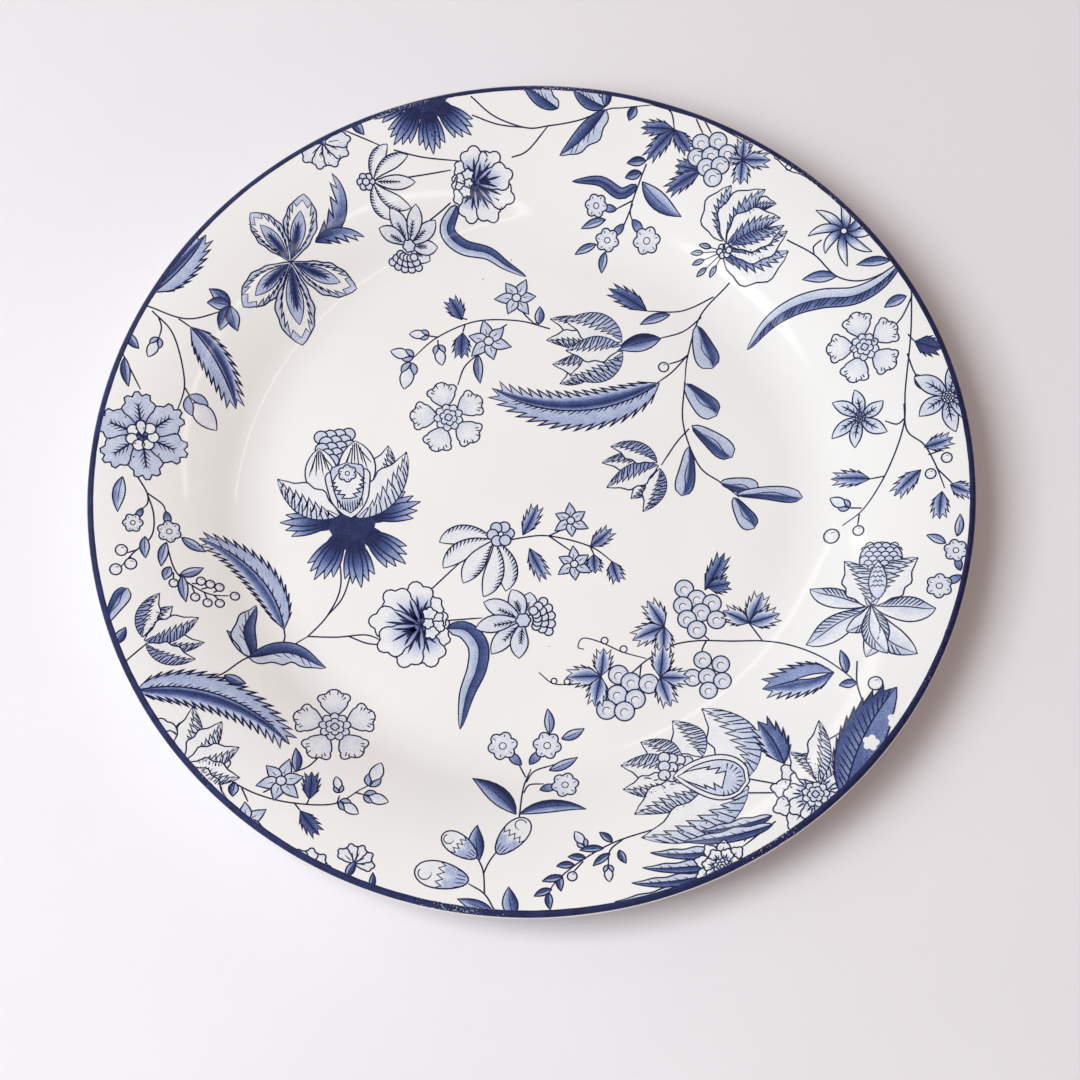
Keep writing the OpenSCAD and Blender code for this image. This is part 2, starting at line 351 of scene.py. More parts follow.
class Pen:
    """Draws on one spray from its own origin, turned and perhaps mirrored. What is drawn later lies on top:
    layers holds, for each square millimetre, how many washes lie there."""

    def __init__(self, wash, ink, layers, origin=0j, turn=1 + 0j, flip=False):
        self.wash, self.ink, self.layers = wash, ink, layers
        self.origin, self.turn, self.flip = origin, turn, flip

    def place(self, p):
        return self.origin + self.turn * (p.conjugate() if self.flip else p)

    def at(self, x, y, degrees=0.0, flip=False):
        angle = math.radians(-degrees if self.flip else degrees)
        origin = self.place(complex(x, y))
        return Pen(self.wash, self.ink, self.layers, origin, self.turn * cmath.rect(1, angle),
                   self.flip != flip)

    def around(self, count, start=0):
        """Pens turned evenly round the origin."""
        return [self.at(0, 0, 360 * k / count + start) for k in range(count)]

    def fill(self, points, tones, faces):
        placed = [self.place(p) for p in points]
        cells = set()
        for face in faces:
            corners = [placed[v] for v in face]
            for a, b in sides_of(corners):
                steps = max(1, int(abs(b - a) / CELL_STEP))
                for i in range(steps + 1):
                    for j in (0, 1, 2):
                        p = (a + (b - a) * i / steps) * (1 - j / 3) + sum(corners) / len(corners) * (j / 3)
                        cells.add((math.floor(p.real), math.floor(p.imag)))
        layer = 1 + max(self.layers.get(cell, 0) for cell in cells)
        for cell in cells:
            self.layers[cell] = layer
        self.wash.patch(placed, tones, faces, PRINT_LIFT + LAYER_LIFT * layer)

    def line(self, points, width=LINE, ends=(1.0, 1.0)):
        """An engraved line whose width swells from its ends to the middle."""
        path = [self.place(p) for p in points]
        fine = [path[0]]
        for a, b in zip(path, path[1:]):
            n = max(1, math.ceil(abs(b - a) / LINE_STEP))
            fine.extend(a + (b - a) * i / n for i in range(1, n + 1))
        path = [p for i, p in enumerate(fine) if i == 0 or abs(p - fine[i - 1]) > LEAST_STEP]
        if len(path) < 2:
            return
        travel = [0.0]
        for a, b in zip(path, path[1:]):
            travel.append(travel[-1] + abs(b - a))
        left, right = [], []
        for i, p in enumerate(path):
            before = path[i] - path[i - 1] if i else path[1] - path[0]
            after = path[i + 1] - path[i] if i < len(path) - 1 else before
            d1, d2 = before / abs(before), after / abs(after)
            mean = d1 + d2
            mean = mean / abs(mean) if abs(mean) > 0.2 else d1
            mitre = 1 / max(0.5, (mean * d1.conjugate()).real)
            t = travel[i] / travel[-1]
            ease = min(1.0, 4 * min(t, 1 - t))
            half = width / 2 * (ease + (1 - ease) * (ends[0] if t < 0.5 else ends[1]))
            left.append(p + mean * 1j * half * mitre)
            right.append(p - mean * 1j * half * mitre)
        n = len(path)
        faces = [(i, n + i, n + i + 1, i + 1) for i in range(n - 1)]
        layer = max(self.layers.get((math.floor(p.real), math.floor(p.imag)), 0) for p in left + right)
        self.ink.patch(left + right, [1.0] * (2 * n), faces, PRINT_LIFT + LAYER_LIFT * (layer + INK_RISE))

    def fan(self, outline, centre, tone, rings=2, edge=True, width=LINE):
        """Fills an outline from its centre; tone takes the point and 0 at the centre to 1 at the edge."""
        n = len(outline)
        points, tones = [centre], [tone(centre, 0.0)]
        for k in range(1, rings + 1):
            for p in outline:
                q = centre + (p - centre) * k / rings
                points.append(q)
                tones.append(tone(q, k / rings))
        faces = [(0, 1 + i, 1 + (i + 1) % n) for i in range(n)]
        for k in range(rings - 1):
            a, b = 1 + k * n, 1 + (k + 1) * n
            faces.extend((a + i, b + i, b + (i + 1) % n, a + (i + 1) % n) for i in range(n))
        self.fill(points, tones, faces)
        if edge:
            self.line(outline + outline[:2], width)

    def blade(self, spine, half, tone, teeth=0, tooth=0.8, lean=0.9, sides=(1, -1), cols=3, rows=14,
              edge=True, width=LINE):
        """Fills a leaf or petal about a spine; half(t) is its half width and tone takes t and -1..1 across.
        Teeth lean to the tip."""
        rows = teeth * 2 if teeth else rows
        for side in sides:
            points, tones, index, faces = [], [], [], []
            for i in range(rows + 1):
                t = i / rows
                row_cols = 0 if i in (0, rows) else cols
                row = []
                for j in range(row_cols + 1):
                    row.append(len(points))
                    points.append(spine.at(t, side * half(t) * j / cols))
                    tones.append(tone(t, side * j / cols))
                index.append(row + [row[0]] * (cols - row_cols))
            for lower, upper in zip(index, index[1:]):
                faces.extend((lower[j], upper[j], upper[j + 1], lower[j + 1]) for j in range(cols))
            border = [points[row[cols]] for row in index]
            if teeth:
                jagged = [border[0]]
                for k in range(teeth - 1):
                    t = (2 * k + 2) / rows
                    grow = min(1.0, 2.5 * half(t) / tooth)
                    points.append(spine.at(t + lean / rows, side * (half(t) + tooth * grow)))
                    tones.append(tone(t, side))
                    base = [index[2 * k + m][cols] for m in range(3)]
                    faces.extend([(base[0], base[1], len(points) - 1), (base[1], base[2], len(points) - 1)])
                    jagged.extend([points[-1], border[2 * k + 2]])
                border = jagged + [border[-1]]
            self.fill(points, tones, faces)
            if edge:
                self.line(border, width, (0.8, 0.6))

    def hatch(self, spine, side, start, stop, count, length, slant=1.0, width=0.32):
        """Short strokes off a spine, slanting to its tip."""
        for i in range(count):
            t = start + (stop - start) * (i + 0.5) / count
            reach = length * (0.75 + 0.25 * math.sin(2.4 * i))
            self.line([spine.at(t), spine.at(t + slant * reach / spine.length, side * reach)], width, TAPER)


def bulge(width, peak=0.5, blunt=1.0):
    """Half width of a blade: zero at both ends and widest at the fraction peak."""
    power = math.log(0.5) / math.log(peak)
    return lambda t: width / 2 * math.sin(math.pi * min(1.0, max(0.0, t)) ** power) ** blunt


def rounded(width, neck=0.5):
    """Half width of a blade with a narrow foot and a round tip."""
    def half(t):
        into_tip = max(0.0, (t - 0.62) / 0.38)
        return width / 2 * (t ** neck) * math.sqrt(max(0.0, 1 - into_tip ** 2)) * 1.15

    return half


def petal(length, width, lobes=0, depth=0.0, neck=0.45):
    """Outline of a petal from its foot at the origin along +x, with lobes round its outer edge."""
    middle, n = 0.58 * length, 16
    out = []
    for i in range(2 * n):
        a = math.pi * (i + 0.5) / n
        x = (1 - math.cos(a)) / 2
        p = complex(length * x, width / 2 * math.sin(a) * x ** neck * 1.12)
        u = (a - 0.5 * math.pi) / math.pi
        if lobes and 0 < u < 1:
            d = p - middle
            p += d / abs(d) * depth * (abs(math.sin(math.pi * lobes * u)) - 0.5)
        out.append(p)
    return out


def ring(radius, n=24):
    return [polar(radius, TAU * i / n) for i in range(n)]


def scallops(radius, lobes, depth, n=48):
    """A ring with round lobes."""
    reach = [radius * (1 - depth + depth * abs(math.cos(lobes * math.pi * i / n))) for i in range(n)]
    return [polar(reach[i], TAU * i / n) for i in range(n)]


def span(pen, x0, y0, x1, y1, flip=False):
    """A pen at one point, turned to another, and the distance between them."""
    run = complex(x1 - x0, y1 - y0)
    return pen.at(x0, y0, math.degrees(cmath.phase(run)), flip), abs(run)


def flat(tone):
    return lambda p, k: tone


def flat_blade(tone):
    return lambda t, s: tone


# ---------------------------------------------------------------- leaves
# Sizes inside a motif are fractions of its length, width or radius. Tones run from 0, bare glaze, to 1, full
# blue. Line widths are in millimetres, and a pair after one is what is left of it at the two ends.
def small_leaf(pen, length, width, bend, dark):
    """Plain pointed leaf, darker along one side."""
    centre = Spine(length, bend)
    pen.blade(centre, bulge(width, 0.45), lambda t, s: dark * (0.72 - 0.45 * s), cols=2, rows=8)
    pen.line([centre.at(t) for t in (0.05, 0.3, 0.55, 0.75)], HAIR, POINTED)


def toothed_leaf(pen, length, width, bend, teeth, tooth=1.8, dark=1.0, pale=0.28, strokes=0):
    """Two-tone leaf with saw teeth: dark beside the midrib on one side, pale on the other."""
    centre = Spine(length, bend)
    pen.blade(centre, bulge(width, 0.4, 0.8),
              lambda t, s: dark - 0.75 * dark * s ** 2 if s > 0 else pale - 0.08 * s, teeth=teeth,
              tooth=tooth, lean=1.6)
    pen.line([centre.at(0.02 + 0.95 * t) for t in ramp(12)], 0.6, TAPER)
    if strokes:
        pen.hatch(centre, -1, 0.06, 0.85, strokes, width * 0.17, slant=1.6, width=THIN)


def dark_leaf(pen, length, width, bend, tip, teeth=5):
    """Small toothed leaf, dark at the foot and along the midrib, paler at the edge."""
    centre, base = Spine(length, bend), 0.85
    pen.blade(centre, bulge(0.66 * width, 0.42), lambda t, s: base + (tip - base) * (0.5 * t + abs(s)),
              teeth=teeth, tooth=1.4, lean=1.6, width=THIN)
    pen.line([centre.at(0.02 + 0.9 * t) for t in ramp(8)], STROKE, TAPER)


def claw_leaf(pen, length, width, bend):
    """Curling leaf with a smooth back and large hooked teeth on its inner side, paler to the tip."""
    centre = Spine(length * 1.06, bend)
    shape = bulge(width, 0.4, 0.8)
    pen.blade(centre, shape, lambda t, s: 1 - 0.7 * t, sides=(-1,))
    pen.blade(centre, lambda t: 0.5 * shape(t), lambda t, s: 1 - 0.7 * (t + 0.3 * s), teeth=5, tooth=2.6,
              lean=1.0, sides=(1,))


def frilled_petal(pen, x, y, tip_x, tip_y, width, bend, side=1, reach=0.15, tone=0.12, core=0.0):
    """Pointed petal between two points: white with a waved edge on one side, and a pale panel with a zigzag
    edge and dark strokes along the other. The panel darkens by core towards the foot."""
    leaf, length = span(pen, x, y, tip_x, tip_y)
    centre = Spine(length * (1 + bend * bend / 24), bend, 0.12 * side)
    half, teeth = bulge(1.05 * width, 0.46, 1.05), 9
    leaf.blade(centre, lambda t: half(t) * (1 + 0.12 * math.sin(22 * t)), flat_blade(0.03), rows=18, cols=1,
               sides=(side,))
    leaf.blade(centre, half, flat_blade(0.03), rows=12, cols=1, sides=(-side,))
    back, zigzag = [], []
    for k in range(2 * teeth + 1):
        t = 0.03 + 0.94 * k / (2 * teeth)
        back.append(centre.at(t, -side * 0.97 * half(t)))
        if k % 2:
            zigzag.append(centre.at(min(0.99, t + 0.9 / teeth), side * reach * half(t)))
        else:
            zigzag.append(centre.at(t, side * (reach - 0.45) * half(t)))
    tones = [tone + core * (1 - k / teeth / 2) for k in range(2 * teeth + 1)]
    leaf.fill(back + zigzag, [t + 0.1 for t in tones] + tones,
              [(i, i + 1, len(back) + i + 1, len(back) + i) for i in range(2 * teeth)])
    leaf.line(zigzag, 0.42, (0.8, 0.8))
    for k in range(teeth + 4):
        t = 0.06 + 0.8 * k / (teeth + 4)
        across = -side * half(t)
        leaf.line([centre.at(t, across), centre.at(t + 0.1, across * (0.3 - 0.2 * (k % 2)))], STROKE, POINTED)


def cut_leaf(pen, size, angles):
    """Deeply cut calyx leaf: from a dark middle each lobe opens into pointed fingers, paler at their tips."""
    pen.fan(ring(0.36 * size, 20), 0j, flat(0.92), edge=False)
    for degrees in angles:
        lobe = pen.at(0, 0, degrees)
        lobe.blade(Spine(0.76 * size), bulge(0.3 * size, 0.58, 0.8), flat_blade(0.92), edge=False)
        for k in (-2, 2, -1, 1, 0):
            finger = lobe.at(0.32 * size, 0.035 * k * size, 7.5 * k)
            finger.blade(Spine(size * (0.74 - 0.075 * abs(k)), 0.16 * k), bulge(0.135 * size, 0.5, 0.9),
                         lambda t, s: 0.92 - 0.95 * max(0.0, t - 0.25), cols=2, rows=8)


def paddle_leaf(pen, length, width, bend=0.2):
    """Leaf with a narrow foot and a round end: dark on one side, pale on the other, a wavy line between."""
    centre = Spine(length, bend)
    pen.blade(centre, rounded(width), lambda t, s: 0.95 - 0.5 * s * t if s > 0 else 0.3 + 0.06 * s, rows=12)
    pen.line([centre.at(t, 0.12 * width * math.sin(9 * t) * t) for t in (0.3 + 0.65 * u for u in ramp(10))],
             0.4, (0.5, 0.8))


def wavy_leaf(pen, length, width, bend, sway=0.0):
    """Leaf with one smooth dark side and one pale side with a waved edge."""
    centre = Spine(length, bend, sway)
    shape = bulge(width, 0.42, 0.8)
    pen.blade(centre, shape, lambda t, s: 1.0 - 0.35 * s - 0.2 * t, sides=(1,))
    pen.blade(centre, lambda t: shape(t) * (1 + 0.16 * math.sin(19 * t)), flat_blade(0.22), sides=(-1,),
              rows=20)
    pen.line([centre.at(0.02 + 0.94 * t) for t in ramp(12)], THIN, TAPER)
    pen.hatch(centre, -1, 0.25, 0.8, 5, width * 0.3, slant=1.6)


def ribbon_leaf(pen, points, width, dark=0.7, pale=0.25, strokes=0, peak=0.35):
    """Long two-tone ribbon leaf that follows the points and narrows to its tip."""
    path = smooth(points, 0.7)
    n = len(path) - 1
    steps = [b - a for a, b in zip(path, path[1:])]
    steps.append(steps[-1])
    half = bulge(width, peak, 0.6)
    sides = [d / abs(d) * 1j * (half(i / n) + 0.3 * (1 - i / n)) for i, d in enumerate(steps)]
    for side, tone in ((1, dark), (-1, pale)):
        edge = [p + side * w for p, w in zip(path, sides)]
        tones = [tone + 0.2 * dark, tone - 0.1 * dark] * (n + 1)
        pen.fill([q for pair in zip(path, edge) for q in pair], tones,
                 [(2 * i, 2 * i + 2, 2 * i + 3, 2 * i + 1) for i in range(n)])
        pen.line(edge, LINE, (1, 0.5))
    pen.line(path, 0.38, (1, 0.4))
    for k in range(strokes):
        i = int(n * (0.06 + 0.86 * k / strokes))
        pen.line([path[i], path[min(n, i + 2)] + 0.85 * sides[i]], STROKE, (1, 0.4))


def tendril(pen, points, loops):
    """Curling tendril: a smooth line with small loops thrown off along it."""
    path = smooth(points, 2)
    out = []
    for i, p in enumerate(path):
        out.append(p)
        for at, r in loops:
            if i == int(at * (len(path) - 1)):
                out.extend(p + polar(r, TAU * k / 12 - math.pi / 2) + 1j * r for k in range(1, 13))
    pen.line(out, 0.46, (0.8, 0.8))


# ---------------------------------------------------------------- berries, buds and small flowers
def bead(pen, at, r, tone):
    """Small plain disc."""
    pen.fan([at + p for p in ring(r, 12)], at, flat(tone), rings=1)


def berry(pen, r):
    """Round berry with a short curl of shine."""
    pen.fan(ring(r, 16), 0j, lambda p, k: 0.12 * k)
    pen.line([polar(r * 0.5, a) + 0.25 * r for a in (0.9, 1.6, 2.3)], HAIR, (0.5, 0.5))


def grape(pen, r):
    """Round grape with a curl of shine drawn in it."""
    pen.fan(ring(r), 0j, lambda p, k: 0.05 + 0.16 * k)
    pen.line([-0.15j * r + polar(r * 0.42, a) for a in (0.4, 1.2, 2.0, 2.8, 3.6, 4.2)], 0.32, (0.6, 0.3))


def bud(pen, length):
    """Closed pale bud in a cup of two darker leaves."""
    tip = pen.at(0.2 * length, 0)
    tip.blade(Spine(0.8 * length, 0.1), bulge(0.46 * length, 0.45, 0.8), lambda t, s: 0.1 + 0.06 * s, cols=2,
              rows=8)
    for degrees in (28, -28):
        leaf = pen.at(0, 0, degrees)
        leaf.blade(Spine(0.5 * length, -degrees / 40), bulge(0.22 * length), flat_blade(0.36), cols=2, rows=6)


def posy(pen, r, cup=True):
    """Small flower with six round lobes, a ring eye, a tick on each lobe and perhaps a short cup behind."""
    if cup:
        foot = pen.at(-0.75 * r, 0, 180)
        foot.blade(Spine(1.15 * r, 0.3), bulge(0.62 * r, 0.4, 0.7), lambda t, s: 0.35 + 0.4 * t, rows=6)
    pen.fan(scallops(r, 6, 0.22), 0j, lambda p, k: 0.06 + 0.1 * k)
    eye = ring(0.24 * r, 12)
    pen.line(eye + eye[:2], FINE)
    for k in range(6):
        a = TAU * k / 6 + 0.12
        pen.line([polar(0.62 * r, a), polar(0.84 * r, a)], 0.3)


def star(pen, r):
    """Small flower of six pointed petals round an eye."""
    for k, leaf in enumerate(pen.around(6)):
        leaf.blade(Spine(r * (1 - 0.12 * (k % 2)), 0.1), bulge(0.5 * r, 0.42, 1.15),
                   lambda t, s: 0.09 + 0.24 * t, cols=1, rows=8)
        leaf.line([0.3 * r, 0.55 * r], 0.34, TAPER)
    pen.fan(ring(0.2 * r, 14), 0j, flat(0.12), rings=1)


def rosette(pen, r):
    """Centre of a rose: two rings of small scallops round an eye."""
    for scale, lobes in ((1.0, 9), (0.6, 6), (0.26, 4)):
        pen.fan(scallops(r * scale, lobes, 0.2, 40), 0j, lambda p, k: 0.26 - 0.14 * k, rings=1, width=0.5)
        for k in range(lobes if scale > 0.5 else 0):
            a = TAU * (k + 0.5) / lobes
            pen.line([polar(r * scale * 0.62, a), polar(r * scale * 0.84, a)], FINE)


def rose(pen, r):
    """Open rose: five separate round petals with three lobes and short ticks, round a rosette."""
    for leaf in pen.around(5):
        shape = [p + 0.28 * r for p in petal(0.72 * r, 0.84 * r, 3, 0.1 * r, 0.45)]
        leaf.fan(shape, complex(0.7 * r, 0), lambda p, k: 0.2 * k * max(0.0, 1 - abs(p) / (1.1 * r)) + 0.06)
        for a in (-1.25, -0.95, -0.4, 0.4, 0.95, 1.25):
            foot = complex(0.68 * r, 0) + polar(0.22 * r, a)
            leaf.line([foot + polar(0.11 * r, a * 0.7), foot], VEIN, TAPER)
    rosette(pen, 0.4 * r)


def feather(pen, start, stop, barbs, length, width=0.55):
    """Dark vein with barbs that point outward, inside a petal."""
    pen.line([start, stop], width, TAPER)
    for k in range(barbs):
        x = start + (stop - start) * (k + 0.6) / (barbs + 0.4)
        reach = length * (1 - 0.45 * k / barbs)
        for side in (1, -1):
            pen.line([x, complex(x + reach, side * reach * 0.75)], FINE, POINTED)


def scallop_flower(pen, r):
    """Flower of six scalloped pale blue petals, each with a dark feathered vein, round a beaded heart."""
    for leaf in pen.around(6):
        leaf.fan(petal(r, 0.74 * r, 5, 0.12 * r, 0.4), complex(0.6 * r, 0),
                 lambda p, k: 0.24 + 0.9 * max(0.0, 0.5 - abs(p) / r))
        feather(leaf, 0.3 * r, 0.78 * r, 4, 0.17 * r, 0.75)
    for k in range(7):
        bead(pen, polar(0.24 * r, TAU * k / 7), 0.13 * r, 0.04)
    pen.fan(petal(0.36 * r, 0.24 * r), complex(0.18 * r, 0), flat(0.1), rings=1)


def star_bloom(pen, petals):
    """Large flower of pointed petals: a waved outer line, a zigzag inner line and a dark feathered heart."""
    for degrees, length in petals:
        leaf = pen.at(0, 0, degrees)
        centre = Spine(length, 0.25)
        half = bulge(0.46 * length, 0.58, 0.75)
        leaf.blade(centre, lambda t: half(t) * (1 + 0.05 * math.sin(26 * t)), flat_blade(0.25), cols=1,
                   rows=18)
        inner = leaf.at(0.05 * length, 0)
        inner.blade(Spine(0.86 * length, 0.25), bulge(0.29 * length, 0.58, 0.8), flat_blade(0.03), teeth=8,
                    tooth=1.3, lean=1.4, width=THIN)
        inner.blade(Spine(0.7 * length, 0.2), bulge(0.2 * length, 0.58, 0.85), flat_blade(0.3), width=THIN)
        inner.blade(Spine(0.55 * length, 0.15), bulge(0.09 * length, 0.5, 0.9),
                    lambda t, s: 1.0 - 0.3 * abs(s), teeth=7, tooth=0.9, lean=2.0, edge=False)


def peony(pen, r):
    """Ruffled flower from the side: wide white petals with dark strokes fanning out of a small heart."""
    for degrees, length in ((158, 0.6), (-160, 0.6), (125, 0.72), (-128, 0.72)):
        pen.at(0, 0, degrees).fan(petal(length * r, 0.62 * r, 4, 0.08 * r, 0.4),
                                  complex(0.55 * length * r, 0), lambda p, k: 0.03 + 0.1 * (1 - k))
    for degrees, length in ((92, 0.95), (-95, 0.98), (-58, 1.08), (52, 1.0), (-20, 1.12), (16, 1.04)):
        leaf = pen.at(0, 0, degrees)
        leaf.fan(petal(length * r, 0.76 * r, 3, 0.11 * r, 0.5), complex(0.5 * length * r, 0),
                 lambda p, k: 0.75 * max(0.0, 1 - abs(p) / (0.85 * r)) ** 1.2 + 0.02, rings=3)
        for k in range(5):
            a = (k - 2) * 9
            reach = (0.62, 0.46, 0.72, 0.42, 0.58)[k]
            leaf.line(smooth([polar(0.14 * r, math.radians(0.6 * a)), polar(0.36 * r, math.radians(0.9 * a)),
                              polar(reach * length * r, math.radians(1.25 * a))]), 0.85, (1, 0.1))
    heart = pen.at(-0.16 * r, 0)
    for degrees in (200, 145, -105, 95, 250):
        heart.at(0, 0, degrees).fan(petal(0.36 * r, 0.32 * r, 3, 0.05 * r), complex(0.19 * r, 0),
                                    lambda p, k: 0.02 + 0.16 * (1 - k), rings=1)
    heart.fan(scallops(0.13 * r, 5, 0.25, 30), 0j, flat(0.1), rings=1)


def trumpet(pen, r):
    """Flower of pointed petals with feathered veins, a cluster of beads to one side and a scalloped eye."""
    for degrees, length in ((73, 0.72), (106, 0.82), (150, 1.05), (224, 1.12), (186, 1.15), (260, 0.95)):
        leaf = pen.at(0, 0, degrees)
        leaf.blade(Spine(length * r, 0.3), bulge(0.42 * r, 0.6, 0.8), lambda t, s: 0.08 + 0.16 * (1 - t),
                   cols=2, rows=10)
        feather(leaf, 0.2 * r, 0.62 * length * r, 5, 0.12 * r, 0.5)
    for k in range(15):
        bead(pen, polar(r * (0.66 - 0.16 * (k // 5)), 0.3 * (k % 5 - 2) + 0.1), 0.11 * r, 0.15)
    pen.fan(scallops(0.18 * r, 6, 0.2, 30), 0j, flat(0.2), rings=1)


def nodding_flower(pen, r):
    """Drooping flower: long curved petals, hatched down one edge, under a beaded crown."""
    for degrees, length, bend in ((178, 1.0, 1.1), (206, 1.05, 0.9), (232, 0.95, 0.3), (278, 1.0, -1.0),
                                  (256, 1.08, -0.8)):
        edge_petal(pen.at(0, 0, degrees), length * r, 0.34 * r, bend, -1 if bend > 0.5 else 1)
    for k in range(6):
        bead(pen, complex(0.12 * r, 0.1 * r) + polar(0.14 * r, TAU * k / 6), 0.1 * r, 0.22)


def edge_petal(pen, length, width, bend, side):
    """Curved pointed petal with a dark hatched edge on one side and a short vein."""
    centre = Spine(length, bend)
    half = bulge(width, 0.6, 0.8)
    pen.blade(centre, half, lambda t, s: 0.05 + 0.14 * max(0.0, s * side), cols=2)
    for k in range(11):
        t = 0.12 + 0.062 * k
        pen.line([centre.at(t, side * half(t)), centre.at(t + 0.07, side * 0.45 * half(t))], STROKE, POINTED)


def striped_tulip(pen, r):
    """Open flower from the side: curved petals with hatched edges, from a beaded foot along +x."""
    for degrees, length, bend in ((66, 1.15, -0.9), (34, 1.25, -0.9), (-66, 1.15, 1.0), (-36, 1.25, 0.9)):
        edge_petal(pen.at(0, 0, degrees), length * r, 0.4 * r, bend, 1 if bend < 0 else -1)
    leaf = pen.at(0, 0, -2)
    leaf.blade(Spine(1.15 * r, 0.1), bulge(0.4 * r, 0.55, 0.8), flat_blade(0.08), cols=2)
    feather(leaf, 0.12 * r, 0.75 * r, 7, 0.1 * r)
    for k in range(7):
        bead(pen, complex(-0.2 * r, 0) + (polar(0.15 * r, TAU * k / 6) if k < 6 else 0), 0.1 * r, 0.15)


TALL_TULIP = ((0.9, -0.6, 1.46, -1.44, 0.62, 0.5, 1), (1.3, -0.5, 2.1, -1.0, 0.55, 0.5, 1),
              (1.4, -0.4, 2.5, -0.5, 0.55, 0.3, 1), (1.4, -0.1, 2.46, 0.04, 0.5, -0.4, -1),
              (0.02, -0.1, 0.87, -1.66, 0.9, 1.1, 1), (0.9, 0.1, 2.26, 0.61, 0.66, 0.3, -1),
              (0.02, 0.1, 2.1, 1.1, 0.85, -0.8, -1))
CUP_TULIP = ((0.7, -0.5, 2.0, -0.95, 0.5, 0.4, 1), (0.8, 0.5, 1.8, 1.05, 0.5, -0.6, -1),
             (0.7, -0.1, 2.15, -0.3, 0.55, 0.3, -1), (0.6, 0.3, 2.0, 0.45, 0.6, -0.3, 1),
             (0.0, -0.15, 1.55, -0.85, 0.9, 0.9, 1), (0.0, 0.15, 1.5, 0.8, 0.9, -0.9, -1),
             (0.0, 0.0, 1.6, 0.05, 0.75, 0.2, 1))
OPEN_TULIP = ((0.1, 0.1, 1.15, 0.6, 0.6, -0.5, -1), (0.1, -0.1, 1.45, -0.75, 0.55, 0.6, 1),
              (0.0, 0.1, 1.0, 1.1, 0.6, -0.8, -1), (0.0, 0.0, 1.65, 0.0, 0.7, 0.3, 1),
              (0.0, -0.1, 1.0, -1.1, 0.6, 0.9, 1))


def tulip(pen, r, petals, tone=0.11, seeds=False, folded=0.0):
    """Tulip from its foot at the origin along +x: frilled petals, perhaps round a folded one of a given size
    and a cluster of seeds."""
    for x, y, tip_x, tip_y, width, bend, side in petals:
        frilled_petal(pen, x * r, y * r, tip_x * r, tip_y * r, width * r, bend, side, tone=tone, core=tone)
    if seeds:
        for k in range(12):
            at = complex(r * (1.2 + 0.15 * (k % 4)), r * (-0.52 + 0.2 * (k // 4) - 0.04 * (k % 4)))
            bead(pen, at, 0.12 * r, 0.12)
    if not folded:
        return
    size = folded * r
    cup = pen.at(0, 0, -8)
    cup.blade(Spine(1.3 * size, 0.3), bulge(0.86 * size, 0.38, 0.75), flat_blade(0.03))
    leaf = cup.at(0.07 * size, 0)
    leaf.blade(Spine(1.12 * size, 0.3), bulge(0.68 * size, 0.36, 0.75), lambda t, s: 0.26 - 0.2 * t)
    leaf.at(0.36 * size, 0).blade(Spine(0.8 * size, 0.2), bulge(0.3 * size, 0.5, 0.9), flat_blade(0.02),
                                  teeth=5, tooth=0.07 * size, lean=-2.6)
    for k in range(11):
        a = math.radians(17 * (k - 5) + 180)
        at = complex(0.36 * size, 0) + polar(0.32 * size, a)
        leaf.line([at, at - polar(0.12 * size, a)], VEIN, POINTED)


BLOOM_PETALS = ((9.2, 13, 19.6, 13.4, 5, -0.5, 1), (-0.5, 3.5, 4.5, 22.8, 10, -1.1, 1),
                (0.5, 3, 16.5, 19.4, 10.5, -0.9, 1), (-0.5, -2.5, 22.8, -4, 12, 1.1, -1),
                (1.5, -0.5, 22.8, 3.2, 8.5, 0.7, -1), (1.0, 2.5, 20.8, 8.2, 9.5, -0.8, 1),
                (2.2, 1.4, 21.7, 5.4, 6.5, 0.35, -1))


def layered_bloom(pen):
    """Full flower of overlapping frilled petals, with a tuft of narrow leaves behind its heart."""
    for degrees, length in ((157, 9.5), (174, 12), (193, 12), (214, 12.6), (234, 10)):
        leaf = pen.at(0, 0, degrees)
        leaf.line([0, length - 4], FINE)
        small_leaf(leaf.at(length - 4.6, 0), 4.6, 1.7, 0.2, 0.4)
    for petal_shape in BLOOM_PETALS:
        frilled_petal(pen, *petal_shape, reach=0.35, tone=0.2, core=0.4)
    for k in range(7):
        bead(pen, polar(1.6 if k else 0, TAU * k / 6), 1.1, 0.12)


def windmill(pen, r):
    """Flower of eight narrow petals that curl one way, dark at their feet, round a small eye."""
    for k, leaf in enumerate(pen.around(8)):
        leaf.blade(Spine(r * (1 + 0.12 * math.sin(2.2 * k)), 1.0 + 0.4 * math.sin(1.7 * k)),
                   bulge(0.25 * r, 0.45, 0.9),
                   lambda t, s: 0.95 * max(0.0, 1 - 1.8 * t) + 0.05 + 0.15 * (s > 0), cols=2, rows=10)
    pen.fan(ring(0.09 * r, 12), 0j, flat(0.05), rings=1)


